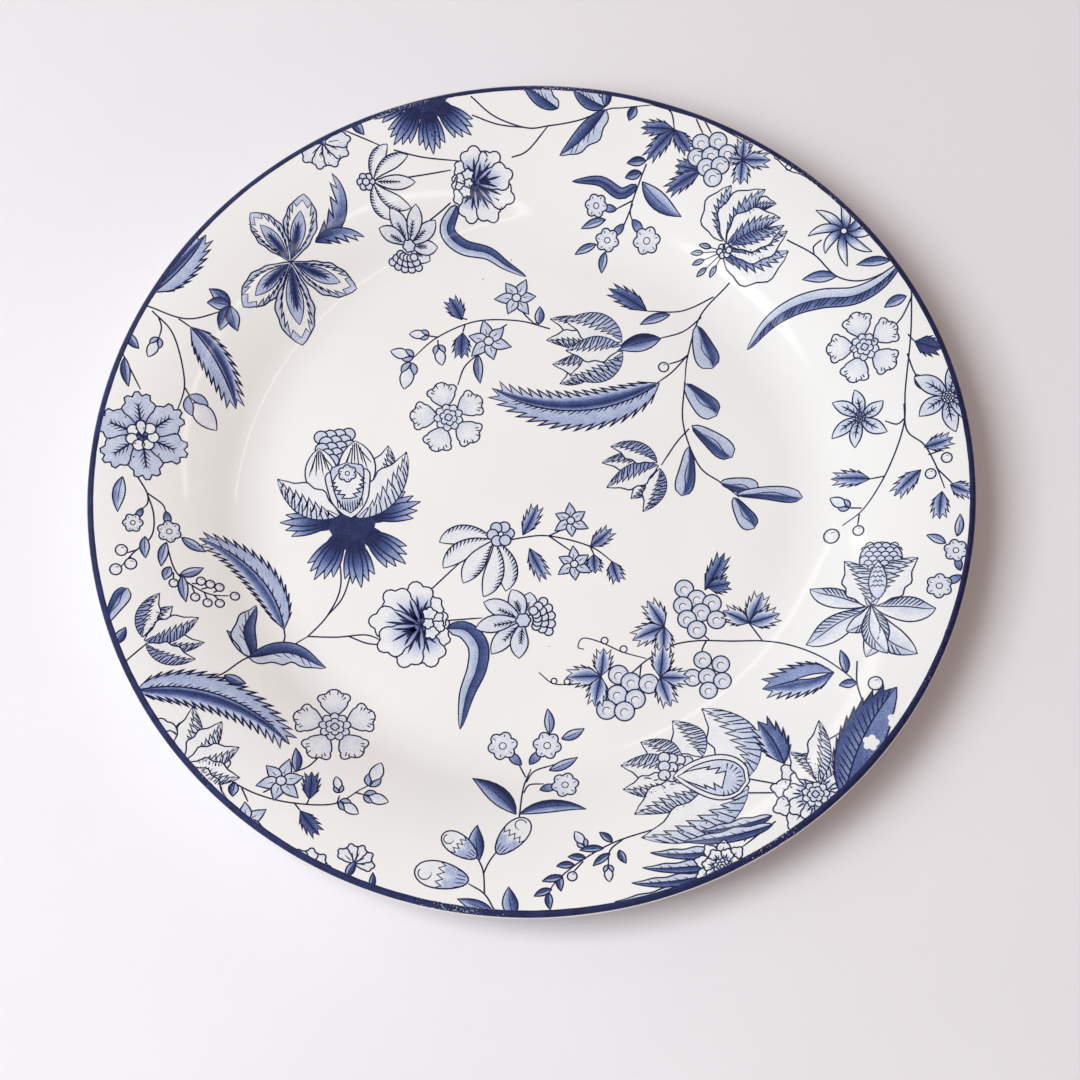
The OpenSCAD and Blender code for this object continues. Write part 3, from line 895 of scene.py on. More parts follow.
def lotus(pen, r):
    """Open lotus from the side: spreading petals round a cup, with a scaled heart above."""
    for row in range(5):
        for k in range(4 - row % 2):
            across = 0.12 * (k - (3 - row % 2) / 2)
            bead(pen, complex(r * (1.16 - 0.085 * row), 0.12 * r + r * across), 0.09 * r, 0.2)
    frilled_petal(pen, 0.36 * r, -0.36 * r, 0.94 * r, -0.56 * r, 0.3 * r, 0.5, 1, tone=0.06)
    for base_y, tip_x, tip_y, width in ((0.33, 1.01, 0.34, 0.42), (-0.12, 1.06, -0.14, 0.48)):
        leaf, length = span(pen, 0.2 * r, base_y * r, tip_x * r, tip_y * r)
        centre, half = Spine(length), bulge(width * r, 0.56, 0.72)
        leaf.blade(centre, half, flat_blade(0.04))
        for k in range(8):
            u = (k - 3.5) / 4
            leaf.line([centre.at(0.97 - 0.2 * u * u, 0.62 * u * half(0.86)),
                       centre.at(0.62 - 0.1 * (k % 2), u * half(0.7))], VEIN, POINTED)
    frilled_petal(pen, 0.06 * r, 0.14 * r, 0.64 * r, 0.9 * r, 0.4 * r, -0.7, -1, reach=0.2)
    frilled_petal(pen, 0.0, -0.06 * r, 0.82 * r, -0.78 * r, 0.42 * r, 0.8, 1, reach=0.2)
    cup = Spine(0.7 * r)

    def vase(t):
        """Half width of the cup: round at the foot, flaring a little, and closed in at the lip."""
        foot, lip = math.sin(math.pi / 2 * min(1.0, 2.2 * t)) ** 0.6, math.sqrt(max(0.0, 1 - t ** 16))
        return (0.2 + 0.12 * t) * r * foot * lip

    pen.blade(cup, vase, flat_blade(0.08))
    inside = pen.at(0.07 * r, 0)
    inside.blade(cup, lambda t: 0.74 * vase(t), flat_blade(0.22))
    inside.at(0.2 * r, 0).blade(Spine(0.42 * r), bulge(0.34 * r, 0.62, 0.7), flat_blade(0.02), teeth=7,
                                tooth=0.045 * r, lean=-1.5)
    for k in range(11):
        u = (k - 5) / 5.5
        foot = 0.06 * r * u * u
        inside.line([complex(0.035 * r + foot, 0.17 * r * u), complex(0.17 * r + foot, 0.18 * r * u)], 0.42,
                    TAPER)
    posy(pen.at(0.62 * r, 0), 0.12 * r, cup=False)


HANGING_PETALS = ((9.3, 18.9, 7, -0.9, -1), (-11.8, 21.6, 9, -0.6, -1), (-4.2, -22.4, 9, 0.9, 1),
                  (-9.3, 8.4, 6, -0.7, 1), (-20.7, -15.2, 9, 0.6, -1), (-20.2, 2.5, 8, -0.7, 1),
                  (-19.4, -5, 7, 0.5, -1))


def globe_flower(pen):
    """Tall flower along +x: a cup of curled petals round a scaled heart, over long striped hanging petals."""
    for tip_x, tip_y, width, bend, side in HANGING_PETALS:
        leaf, length = span(pen, 0, -1, tip_x, tip_y)
        centre, half = Spine(length, bend, 0.2 * side), bulge(width, 0.58, 0.85)
        leaf.blade(centre, half, lambda t, s: 0.16 + 0.12 * s * side, cols=2)
        leaf.line([centre.at(t, 0.2 * side * half(t)) for t in ramp(10)], VEIN, TAPER)
        for k in range(9):
            t = 0.3 + 0.065 * k
            leaf.line([centre.at(t, side * half(t)), centre.at(t - 0.13, side * 0.3 * half(t - 0.13))], 0.46,
                      TAPER)
    heart, length = span(pen, 3, -3.4, 22.5, -6.6)
    heart.blade(Spine(length), rounded(14, 0.3), flat_blade(0.2))
    for row in range(7):
        for k in range(row % 2 + 4):
            at = complex(length * (0.42 + 0.082 * row), 2.7 * (k - (row % 2 + 3) / 2))
            heart.line([at + polar(1.5, a) for a in (-1.4, -0.7, 0, 0.7, 1.4)], 0.48)
    frilled_petal(pen, -1, 0.5, 17.2, 6.4, 10, 0.8, 1)
    frilled_petal(pen, -1, -2.5, 14.6, -17.6, 11, -0.9, -1)
    throat = pen.at(1.5, -3.2, -6)
    throat.blade(Spine(14), bulge(6, 0.45, 0.75), flat_blade(0.2))
    for row in range(5):
        for k in range(3 - row % 2):
            at = complex(4.5 + 1.7 * row, 1.5 * (k - (2 - row % 2) / 2))
            throat.line([at + polar(0.9, a) for a in (-1.4, 0, 1.4)], 0.42)


def dahlia(pen, r, petals=11):
    """Full round flower of two rings of toothed petals round a scalloped heart."""
    for ring_r, count, turn in ((1.0, petals, 0), (0.7, petals - 2, 12)):
        for leaf in pen.around(count, turn):
            leaf.fan(petal(ring_r * r, 0.5 * r, 3, 0.07 * r), complex(0.6 * ring_r * r, 0),
                     lambda p, k: 0.04 + 0.5 * max(0.0, 1 - abs(p) / (0.75 * ring_r * r)))
            for side in (-1, 0, 1):
                tip = (0.76 - 0.1 * abs(side)) * ring_r * r
                leaf.line([polar(0.34 * r, 0.15 * side), polar(tip, 0.24 * side)], 0.62, POINTED)
    rosette(pen, 0.32 * r)


def pink(pen, r):
    """Fringed flower from the side with a dark cup, from its foot along +x."""
    for k in range(5):
        leaf = pen.at(0.25 * r, 0, (k - 2) * 36)
        leaf.fan(petal(0.95 * r, 0.62 * r, 3, 0.09 * r, 0.5), complex(0.55 * r, 0),
                 lambda p, k: 0.04 + 0.1 * k)
        leaf.line([0.2 * r, 0.6 * r], 0.34, POINTED)
    small_leaf(pen.at(-0.5 * r, 0), 0.9 * r, 0.4 * r, 0, 0.9)


def fringed_bud(pen, r):
    """Heavy bud: a hatched cup with a zigzag edge and a pale crown with a curl, from its stalk along +x."""
    outline = [complex(r * (1 - q.real), r * (0.52 - 0.1 * q.real) * q.imag) for q in ring(1)]
    pen.fan(outline, complex(r, 0), lambda p, k: 0.34 if p.real < r else 0.04)
    pen.line([complex(r * (1.05 + 0.12 * (-1) ** k), r * 0.6 * (k - 4) / 4.5) for k in range(9)], FINE)
    for k in range(5):
        u = (k - 2) / 2.5
        pen.line([complex(0.12 * r, 0.3 * r * u), complex(0.5 * r, 0.45 * r * u)], 0.34, TAPER)
    pen.line([complex(1.62 * r, 0.05 * r) + polar(0.24 * r, 0.35 * k - 0.6) for k in range(13)], 0.4,
             (1, 0.4))


# ---------------------------------------------------------------- the sprays, in millimetres from the centre
def leaves(pen, width, dark, *spans):
    """Plain small leaves, each between two points."""
    for ends in spans:
        small_leaf(*span(pen, *ends), width, 0.3, dark)


def toothed(pen, width, tip, *spans):
    """Small toothed leaves, each between two points."""
    for ends in spans:
        dark_leaf(*span(pen, *ends), width, 0.2, tip)


def buds(pen, *spans):
    for ends in spans:
        bud(*span(pen, *ends))


def stems(pen, *paths):
    for points in paths:
        pen.line(smooth(points), STEM, (1.0, 0.7))


def berries(pen, r, *places):
    for place in places:
        berry(pen.at(*place), r)


def posies(pen, *flowers):
    """Small flowers, each with its place, the direction that it faces and its size."""
    for x, y, degrees, r in flowers:
        posy(pen.at(x, y, degrees), r)


def bunch(pen, r, *places):
    for place in places:
        grape(pen.at(*place), r)


def top_left(pen):
    stems(pen, [(-130, 76), (-116, 71), (-101, 75)], [(-128, 74), (-121, 65), (-118, 48), (-121, 37)],
          [(-126, 72), (-125, 68), (-126, 64)], [(-118, 46), (-116, 42)], [(-119, 71), (-115, 68)],
          [(-57, 139), (-53, 137), (-45, 133)], [(-139, 59), (-133, 45)])
    leaves(pen, 4.5, 0.75, (-101, 76, -108, 82), (-101, 76, -109, 77), (-101, 76, -105, 67),
           (-101, 76, -99, 67))
    leaves(pen, 3.2, 0.8, (-138, 57, -137, 46), (-137, 66, -133, 60), (-54, 143, -50, 137))
    star_bloom(pen.at(-79, 92), ((76, 25), (127, 22), (-21, 24), (-86, 29), (-137, 24)))
    claw_leaf(*span(pen, -70, 99, -62, 125), 5, 1.7)
    claw_leaf(*span(pen, -70, 99, -53, 101, True), 4, 1.0)
    toothed_leaf(*span(pen, -115, 68, -101, 39), 8, -0.5, 10)
    toothed_leaf(*span(pen, -127, 81, -108, 102), 8, 0.4, 9)
    bud(*span(pen, -126, 64, -130, 57))
    bud(*span(pen, -117, 43, -108, 31))
    pink(pen.at(-66, 137, -65), 10)
    stems(pen, [(-40, 131), (-30, 128), (-17, 126)], [(-37, 121), (-28, 122), (-20, 123)],
          [(-21, 112), (-25, 109), (-31, 105)])
    striped_tulip(pen.at(-48, 120), 13)
    peony(pen.at(-12, 118, -5), 13)
    trumpet(pen.at(-37, 98, -110), 12.5)
    ribbon_leaf(pen, ((-19, 111), (-23, 103), (-18, 97), (-9, 94), (-3, 89), (4, 84)), 5)
    cut_leaf(pen.at(-27, 151, -95), 21, (-68, -30, 8, 48))


def top(pen):
    stems(pen, [(-11, 149), (-3, 141), (8, 136), (16, 136), (27, 137), (38, 140), (43, 140), (54, 140)],
          [(-11, 142), (-2, 138), (8, 136)], [(2, 126), (8, 128), (16, 136)],
          [(54, 140), (60, 137), (61, 130)], [(54, 140), (72, 132), (88, 121)],
          [(50, 119), (47, 113), (43, 104), (44, 99)], [(44, 106), (40, 99), (37, 98)],
          [(44, 107), (38, 105)], [(72, 132), (74, 127)], [(69, 133), (71, 127)])
    wavy_leaf(*span(pen, 37, 140, 19, 125, True), 8, 0.6)
    wavy_leaf(*span(pen, 20, 142, 8, 152), 7, 0.1)
    wavy_leaf(*span(pen, 37, 141, 26, 149), 7, -0.3)
    leaves(pen, 3.2, 0.9, (48, 140, 45, 135), (37, 141, 38, 149), (50, 120, 43, 120), (48, 116, 42, 115))
    toothed(pen, 6, 0.6, (61, 130, 49, 132), (61, 130, 50, 120), (61, 130, 66, 121), (69, 114, 60, 117),
            (69, 114, 56, 108))
    small_leaf(*span(pen, 48, 113, 61, 99), 6, 0.5, 0.7)
    ribbon_leaf(pen, ((46, 112), (40, 110), (33, 115), (23, 116)), 3.4, 0.7, 0.6)
    posies(pen, (31, 107, 164, 4), (34, 95, -143, 4.2), (48, 93, -59, 4.8))
    leaves(pen, 2.8, 0.6, (34, 102, 25, 100), (30, 94, 22, 91), (33, 91, 31, 83))
    bunch(pen, 3.2, (70, 124), (76, 124), (68, 119), (73, 119), (79, 119), (71, 115), (76, 115), (73, 111))
    for degrees, size in ((80, 8), (-8, 10), (-100, 9), (165, 5)):
        dark_leaf(pen.at(84, 116, degrees), size, 0.7 * size, 0, 0.35, 4)
    tendril(pen, ((96, 115), (100, 110), (104, 108), (109, 104)), ((0.05, 1.0), (0.4, 1.1)))


def upper_right(pen):
    layered_bloom(pen.at(75, 85))
    windmill(pen.at(117, 85), 12.5)
    stems(pen, [(97, 85), (106, 78), (113, 69), (122, 66), (133, 69)], [(109, 83), (106, 81), (106, 78)])
    leaves(pen, 4.0, 0.65, (113, 69, 101, 70))
    leaves(pen, 3.4, 0.8, (132, 72, 120, 72))
    ribbon_leaf(pen, ((135, 70), (127, 64), (118, 61), (107, 62), (97, 61), (88, 57), (80, 49)), 6.4, 0.6,
                0.2, 26, 0.5)


def right(pen):
    stems(pen, [(138, 60), (136, 44), (132, 24), (130, 11), (123, -4), (114, -16), (106, -21)],
          [(138, 58), (134, 51), (130, 47)], [(134, 37), (136, 29), (140, 24)], [(135, 44), (137, 41)],
          [(131, 14), (128, 12), (124, 14)], [(131, 19), (131, 9), (136, 3), (139, -5), (141, -14)],
          [(122, -6), (117, -6)], [(113, -16), (109, -15)], [(112, -18), (111, -22)], [(137, -1), (142, 0)],
          [(139, -6), (144, -13)])
    rose(pen.at(120, 42, 100), 12.5)
    leaves(pen, 3.6, 0.7, (136, 58, 128, 55), (136, 29, 140, 22))
    toothed(pen, 8, 0.8, (137, 41, 146, 37))
    toothed(pen, 6, 0.4, (117, -6, 104, -3), (134, -6, 124, -14), (136, 2, 146, 4), (143, -13, 150, -17),
            (140, -15, 138, -25))
    lily(pen.at(116, 17), 11)
    lily(pen.at(146, 19, 180), 14)
    bud(*span(pen, 109, -15, 103, -10))
    berries(pen, 1.8, (111, -24), (137, -8), (143, -3))
    berry(pen.at(102, -24), 2.6)
    posies(pen, (142, -37, 95, 4), (135, -49, 200, 4.4))
    leaves(pen, 2.8, 0.5, (143, -32, 145, -24), (139, -34, 133, -30))


def lower_right(pen):
    dahlia(pen.at(86, -118), 14.5)
    for tip_x, tip_y in ((100, -94), (79, -102), (90, -92)):
        frilled_petal(pen, 87, -114, tip_x, tip_y, 7.5, 0.4)
    rim_leaf(pen)
    stems(pen, [(65, -110), (74, -113)], [(64, -115), (73, -116)], [(72, -126), (60, -134)],
          [(69, -124), (61, -132)])
    tulip(pen.at(65, -111, 176), 17, TALL_TULIP, seeds=True, folded=1.15)
    toothed_leaf(*span(pen, 77, -106, 70, -89), 7, 0.4, 6, dark=0.8, pale=0.6)
    for ends, width in (((71, -124, 47, -127), 4), ((71, -127, 41, -130), 4.5), ((56, -134, 30, -133), 4),
                        ((54, -138, 27, -138), 4), ((50, -142, 23, -143), 4), ((46, -145, 17, -149), 4)):
        wavy_leaf(*span(pen, *ends), width, -0.3)
    dahlia(pen.at(53, -140), 9, 9)


def rim_leaf(pen):
    """Broad dark leaf half hidden by the rim line, with small white flowers left open in it."""
    centre = Spine(44, -0.55)
    leaf = pen.at(95, -121, 60)
    half = bulge(14, 0.5, 0.75)
    leaf.blade(centre, half, lambda t, s: 0.45 + 0.15 * t + 0.25 * s, teeth=12, tooth=1.4, sides=(1,))
    leaf.blade(centre, half, lambda t, s: 0.7 - 0.2 * t, rows=16, sides=(-1,))
    leaf.line([centre.at(t) for t in ramp(20)], 0.6, (1, 0.4))
    for k in range(16):
        t = 0.08 + 0.052 * k
        leaf.line([centre.at(t), centre.at(t + 0.1, 0.8 * half(t + 0.1))], STROKE, POINTED)
    for x, y in ((106, -102), (115, -95)):
        pen.at(x, y).fan(scallops(2.9, 5, 0.3, 40), 0j, flat(0.0), edge=False)


def lily(pen, r):
    """Open flower of six pointed petals with a hatched throat, round a small rosette."""
    for degrees, length, width in ((95, 0.95, 0.42), (140, 1.05, 0.46), (-152, 1.05, 0.46), (-105, 1.0, 0.42),
                                   (-40, 1.0, 0.5), (28, 0.85, 0.46)):
        leaf = pen.at(0, 0, degrees)
        centre = Spine(length * r, 0.4)
        leaf.blade(centre, bulge(0.9 * width * r, 0.52, 0.9), lambda t, s: 0.22 * (1 - t) + 0.1, cols=2)
        leaf.line([centre.at(0.15), centre.at(0.4), centre.at(0.7)], 0.6, POINTED)
        for side in (1, -1):
            leaf.hatch(centre, side, 0.1, 0.5, 4, 0.12 * r, width=THIN)
    rosette(pen, 0.16 * r)


def bottom(pen):
    stems(pen, [(-12, -116), (-10, -105), (-7, -98)], [(-9, -101), (-11, -96)],
          [(-9, -103), (-6, -99), (1, -97)], [(-10, -107), (-8, -104), (-3, -104)],
          [(-22, -149), (-25, -143), (-30, -139)], [(-25, -143), (-25, -135), (-27, -129)],
          [(-25, -136), (-23, -132), (-20, -128)],
          [(35, -124), (19, -128), (7, -134), (-2, -141), (-5, -147)], [(22, -127), (17, -131), (16, -137)],
          [(8, -134), (4, -138)], [(12, -131), (8, -128)])
    posies(pen, (-16, -89, 129, 5), (-1, -90, 45, 4.8), (4, -105, 8, 4.6))
    leaves(pen, 3.2, 0.55, (0, -86, 0, -77), (4, -88, 12, -85), (-1, -99, 9, -95))
    small_leaf(*span(pen, -13, -115, -27, -100), 6.4, 0.5, 0.95)
    small_leaf(*span(pen, -12, -115, 11, -115, True), 4.6, 0.8, 0.9)
    small_leaf(*span(pen, -26, -131, -26, -118), 5, -0.5, 0.8)
    small_leaf(*span(pen, -22, -150, -34, -144), 4, 0.1, 0.7)
    small_leaf(*span(pen, -16, -152, -17, -141), 5, -0.3, 0.8)
    fringed_bud(pen.at(-20, -129, 48), 8)
    fringed_bud(pen.at(-27, -130, 138), 7)
    fringed_bud(pen.at(-30, -138, 164), 9)
    bud(*span(pen, 9, -129, 6, -123))
    bud(*span(pen, 16, -136, 16, -142))
    berries(pen, 1.6, (4, -139))
    leaves(pen, 2.4, 0.85, (18, -128, 14, -124), (15, -130, 7, -130), (17, -132, 11, -136),
           (20, -131, 22, -136), (5, -135, -1, -135), (0, -138, 0, -144), (1, -139, -6, -140),
           (-3, -143, -9, -145), (-4, -144, -4, -150), (9, -133, 3, -132))


def lower_left(pen):
    stems(pen, [(-114, -62), (-108, -59), (-100, -53), (-91, -51), (-80, -45)],
          [(-110, -96), (-99, -103), (-87, -107), (-73, -108), (-64, -103), (-60, -101)],
          [(-77, -90), (-81, -94), (-86, -96)], [(-103, -101), (-101, -106)], [(-70, -134), (-67, -130)],
          [(-72, -108), (-71, -105)], [(-72, -108), (-70, -108)], [(-66, -104), (-63, -105)],
          [(-96, -103), (-92, -101)], [(-82, -108), (-81, -106)], [(-86, -107), (-84, -110)])
    dahlia(pen.at(-124, -92), 17, 10)
    for degrees in (75, 45, 15, -15, -40):
        tip = complex(-124, -92) + polar(21, math.radians(degrees))
        frilled_petal(pen, -122, -92, tip.real, tip.imag, 8.5, 0.5)
    toothed_leaf(*span(pen, -137, -65, -84, -87, True), 9.5, 1.2, 18, 2.4, strokes=24)
    leaves(pen, 3.2, 0.8, (-100, -53, -107, -43), (-108, -60, -101, -63), (-85, -96, -85, -87),
           (-105, -99, -106, -104))
    wavy_leaf(*span(pen, -99, -53, -97, -32, True), 7.5, 0.5, -0.3)
    wavy_leaf(*span(pen, -100, -53, -73, -57), 8, -0.3, 0.35)
    rose(pen.at(-72, -79, 90), 13.5)
    star(pen.at(-90, -99, 70), 8.5)
    toothed(pen, 5.5, 0.7, (-81, -106, -80, -96), (-84, -110, -78, -119))
    buds(pen, (-71, -104, -72, -98), (-61, -102, -57, -93), (-63, -105, -55, -108), (-71, -107, -65, -112))
    star(pen.at(-102, -113, 30), 8)
    pink(pen.at(-83, -133, 75), 8)
    pink(pen.at(-68, -131, 60), 7)
    leaves(pen, 2.0, 0.9, (-62, -139, -61, -133))


def left(pen):
    scallop_flower(pen.at(-133, 28, 95), 15.5)
    leaves(pen, 4.2, 0.5, (-140, 13, -142, 0))
    stems(pen, [(-135, 13), (-132, 7), (-132, 3), (-134, 1)],
          [(-132, 7), (-130, -1), (-131, -9), (-137, -15), (-142, -21)], [(-132, 7), (-127, 3), (-126, 0)],
          [(-126, -12), (-123, -22), (-116, -28), (-111, -30), (-106, -30)], [(-136, -14), (-139, -15)],
          [(-138, -16), (-138, -18)], [(-124, -22), (-124, -25)], [(-118, -27), (-117, -30)],
          [(-114, -29), (-113, -32)], [(-111, -30), (-109, -32)], [(-118, -26), (-115, -26)],
          [(-115, -28), (-112, -27)], [(-111, -29), (-109, -28)], [(-88, -42), (-88, -46), (-91, -51)],
          [(-141, -55), (-133, -48)])
    posies(pen, (-137, -4, -121, 3.4), (-125, -7, -82, 4))
    leaves(pen, 3.2, 0.55, (-121, -9, -113, -14), (-126, -11, -128, -20), (-133, -9, -133, -17),
           (-125, -20, -127, -25), (-122, -23, -114, -20), (-121, -23, -120, -33))
    berries(pen, 2.0, (-141, -14), (-138, -19), (-143, -21))
    berries(pen, 1.5, (-124, -26), (-117, -31), (-113, -33), (-109, -33), (-115, -25), (-112, -26),
            (-109, -27), (-104, -30))
    toothed_leaf(*span(pen, -88, -42, -117, -7), 8.5, 1.2, 15, dark=0.8, strokes=12)
    tulip(pen.at(-134, -47, 25), 12, OPEN_TULIP, 0.22)
    paddle_leaf(*span(pen, -146, -40, -139, -28), 6, -0.3)
    leaves(pen, 3.4, 0.85, (-144, -48, -140, -42))


def lotus_spray(pen):
    stems(pen, [(-80, -45), (-73, -38), (-68, -28), (-68, -14)], [(-73, -38), (-67, -31), (-62, -16)],
          [(-80, -45), (-70, -46), (-60, -46), (-54, -49)], [(-66, -46), (-60, -49), (-54, -50)])
    cut_leaf(pen.at(-63, -4, -90), 23.5, (-93, -34, 5, 46, 102))
    lotus(pen.at(-63, -3, 92), 27)


def branch_spray(pen):
    stems(pen, [(11, 63), (0, 67), (-15, 68), (-29, 63), (-39, 55)], [(-18, 69), (-21, 70)],
          [(-19, 67), (-20, 64)], [(-29, 62), (-29, 59)], [(-29, 63), (-33, 64)], [(-4, 66), (-9, 63)],
          [(-14, 56), (-20, 51), (-23, 44)], [(0, 76), (2, 70), (6, 65)], [(6, 65), (7, 67)],
          [(76, 74), (65, 64), (59, 49), (57, 39)], [(70, 70), (58, 66), (46, 67)],
          [(65, 63), (58, 58), (49, 56)], [(59, 49), (53, 43), (47, 39)], [(59, 49), (56, 47), (52, 46)])
    toothed(pen, 6.5, 0.6, (-20, 69, -24, 78), (-20, 64, -21, 54))
    toothed(pen, 7.5, 0.65, (46, 67, 33, 77))
    buds(pen, (-32, 64, -39, 65), (-38, 56, -46, 59), (-39, 54, -42, 44), (-29, 60, -28, 52))
    star(pen.at(-11, 60, 100), 8.5)
    star(pen.at(0, 76, -60), 8)
    leaves(pen, 3.2, 0.65, (-15, 55, -15, 44), (7, 65, 8, 72))
    leaves(pen, 3.4, 0.7, (54, 65, 43, 62))
    rose(pen.at(-27, 32, 100), 13)
    small_leaf(*span(pen, 50, 56, 34, 53), 6.5, 0.2, 0.95)
    toothed_leaf(*span(pen, 48, 39, -15, 42, True), 10.5, 1.25, 17, 2.6, strokes=26)
    berries(pen, 1.8, (50, 45))
    tulip(pen.at(36, 54, 178), 12.5, CUP_TULIP, 0.16)


def bloom_spray(pen):
    stems(pen, [(-11, -16), (-5, -15), (5, -15), (19, -20), (27, -27)], [(-40, -34), (-26, -22)],
          [(5, -15), (12, -21)], [(5, -15), (10, -13)], [(-33, -43), (-20, -43)], [(19, -20), (20, -23)])
    toothed(pen, 5.5, 0.45, (-4, -14, 2, -3), (-2, -19, 3, -31), (19, -20, 27, -14), (20, -23, 20, -30),
            (26, -26, 28, -34))
    star(pen.at(13, -10, 90), 6.8)
    star(pen.at(13, -26, 90), 6.8)
    nodding_flower(pen.at(-14, -15), 20)
    peony(pen.at(-41, -44, 190), 15.5)
    ribbon_leaf(pen, ((-32, -46), (-26, -47), (-22, -53), (-23, -61), (-27, -70), (-30, -82)), 6.5)
    trumpet(pen.at(-6, -45), 14.5)


def vine_spray(pen):
    stems(pen, [(57, 39), (55, 23), (59, 7), (66, 0), (72, -6)], [(57, 21), (52, 16), (46, 8)],
          [(28, -68), (33, -64), (36, -62), (44, -58), (53, -57), (64, -58), (75, -59), (84, -62), (93, -68),
           (100, -75), (104, -80)], [(105, -72), (104, -80), (105, -87), (106, -95)], [(71, -52), (75, -59)],
          [(105, -88), (110, -82)], [(52, -52), (57, -57)], [(56, -57), (54, -61), (55, -66)],
          [(33, -64), (32, -69)])
    paddle_leaf(*span(pen, 63, 60, 67, 43), 9)
    paddle_leaf(*span(pen, 57, 38, 67, 25), 9)
    paddle_leaf(*span(pen, 58, 22, 71, 9, True), 8)
    paddle_leaf(*span(pen, 56, 14, 52, -4), 7, -0.3)
    paddle_leaf(*span(pen, 66, 0, 79, -4, True), 7)
    paddle_leaf(*span(pen, 71, -5, 94, -8, True), 6, 0.4)
    paddle_leaf(*span(pen, 70, -6, 76, -18), 7)
    tulip(pen.at(45, 8, 200), 12, OPEN_TULIP, 0.22)
    bunch(pen, 3.2, (50, -38), (54, -42), (59, -44), (49, -44), (55, -47), (50, -49), (60, -50), (53, -53))
    bunch(pen, 3.4, (25, -67), (29, -70), (35, -71), (24, -74), (30, -76), (20, -79), (26, -80))
    bunch(pen, 3.0, (54, -64), (60, -66), (50, -70), (55, -70), (60, -72), (55, -75))
    toothed(pen, 6.5, 0.6, (57, -39, 65, -26), (58, -38, 66, -37))
    for x, y, turns in ((71, -52, (62, 150, 12)), (42, -51, (200, 265, 118)), (19, -67, (178, 80, 255)),
                        (39, -69, (80, -5, -75))):
        for size, degrees in zip((12, 10, 11), turns):
            dark_leaf(pen.at(x, y, degrees), size, 0.7 * size, 0.1, 0.28)
    tendril(pen, ((35, -62), (27, -59), (20, -55), (14, -53), (12, -56), (14, -57)),
            ((0.3, 1.2), (0.55, 1.2)))
    tendril(pen, ((12, -69), (6, -69), (2, -68), (-2, -64)), ((0.3, 1.0), (0.6, 1.0)))
    toothed_leaf(*span(pen, 97, -75, 73, -77), 9.5, 0.1, 8, 2.0, 0.8, 0.42)
    pen.at(96, -75, 182).blade(Spine(12), bulge(1.6), flat_blade(0.0))
    leaves(pen, 3.0, 0.7, (101, -76, 100, -67), (104, -80, 98, -80))
    berry(pen.at(110, -81), 2.4)
    globe_flower(pen.at(111, -52, 88))


SPRAYS = (("print_top_left", top_left), ("print_left", left), ("print_lower_left", lower_left),
          ("print_bottom", bottom), ("print_lower_right", lower_right), ("print_right", right),
          ("print_upper_right", upper_right), ("print_top", top), ("print_well_lotus", lotus_spray),
          ("print_well_branch", branch_spray), ("print_well_blooms", bloom_spray),
          ("print_well_vine", vine_spray))


# ---------------------------------------------------------------- materials
class Nodes:
    """Short names for building the node tree of a material or a world."""

    def __init__(self, owner):
        owner.use_nodes = True
        self.owner, self.tree = owner, owner.node_tree
        self.shader = self.tree.nodes.get("Principled BSDF")

    def feed(self, socket, value):
        """Gives an input a fixed value, or links it to an output."""
        if isinstance(value, bpy.types.NodeSocket):
            self.tree.links.new(value, socket)
        else:
            socket.default_value = value

    def set(self, node, **settings):
        """Feeds the inputs of a node, named with _ for a space, and sets its other settings."""
        for key, value in settings.items():
            socket = node.inputs.get(key.replace("_", " "))
            if socket:
                self.feed(socket, value)
            else:
                setattr(node, key, value)
        return node

    def add(self, kind, **settings):
        return self.set(self.tree.nodes.new("ShaderNode" + kind), **settings)

    def place(self):
        """The object's own place, in metres."""
        return self.add("TexCoord").outputs["Object"]

    def noise(self, scale, detail=2.0, roughness=0.5):
        """Noise with features about 1/scale across in metres."""
        texture = self.add("TexNoise", Vector=self.place(), Scale=scale, Detail=detail, Roughness=roughness)
        return texture.outputs["Fac"]

    def range(self, value, low, high, to_low, to_high):
        node = self.add("MapRange", Value=value, From_Min=low, From_Max=high, To_Min=to_low, To_Max=to_high)
        return node.outputs["Result"]

    def mix(self, factor, a, b):
        """Mixes two colours."""
        node = self.add("Mix", data_type="RGBA", Factor=factor)
        self.feed(node.inputs[6], a)
        self.feed(node.inputs[7], b)
        return node.outputs[2]

    def ramp(self, value, *stops):
        node = self.add("ValToRGB", Fac=value)
        ends = node.color_ramp.elements
        while len(ends) < len(stops):
            ends.new(0.5)
        for element, (place, colour) in zip(ends, stops):
            element.position = place
            element.color = colour
        return node.outputs["Color"]

    def math(self, operation, a, b):
        node = self.add("Math", operation=operation)
        self.feed(node.inputs[0], a)
        self.feed(node.inputs[1], b)
        return node.outputs[0]

    def bump(self, strength, distance, height):
        """Fine relief on the shader."""
        relief = self.add("Bump", Strength=strength, Distance=distance, Height=height)
        self.set(self.shader, Normal=relief.outputs["Normal"])

    def gloss(self, colour, roughness, waves=0.05):
        """Glazed finish: a clear shine over the colour, with the soft waves of a fired glaze."""
        self.set(self.shader, Base_Color=colour, Roughness=roughness, IOR=GLAZE_IOR)
        self.bump(waves, 0.002, self.noise(38))
        return self.owner


GLAZE_IOR = 1.52


def new_material(name):
    return Nodes(bpy.data.materials.new(name))


def srgb(r, g, b):
    """Linear colour from the usual 0-255 screen values."""
    return *((c / 255 / 12.92) if c <= 10 else ((c / 255 + 0.055) / 1.055) ** 2.4 for c in (r, g, b)), 1


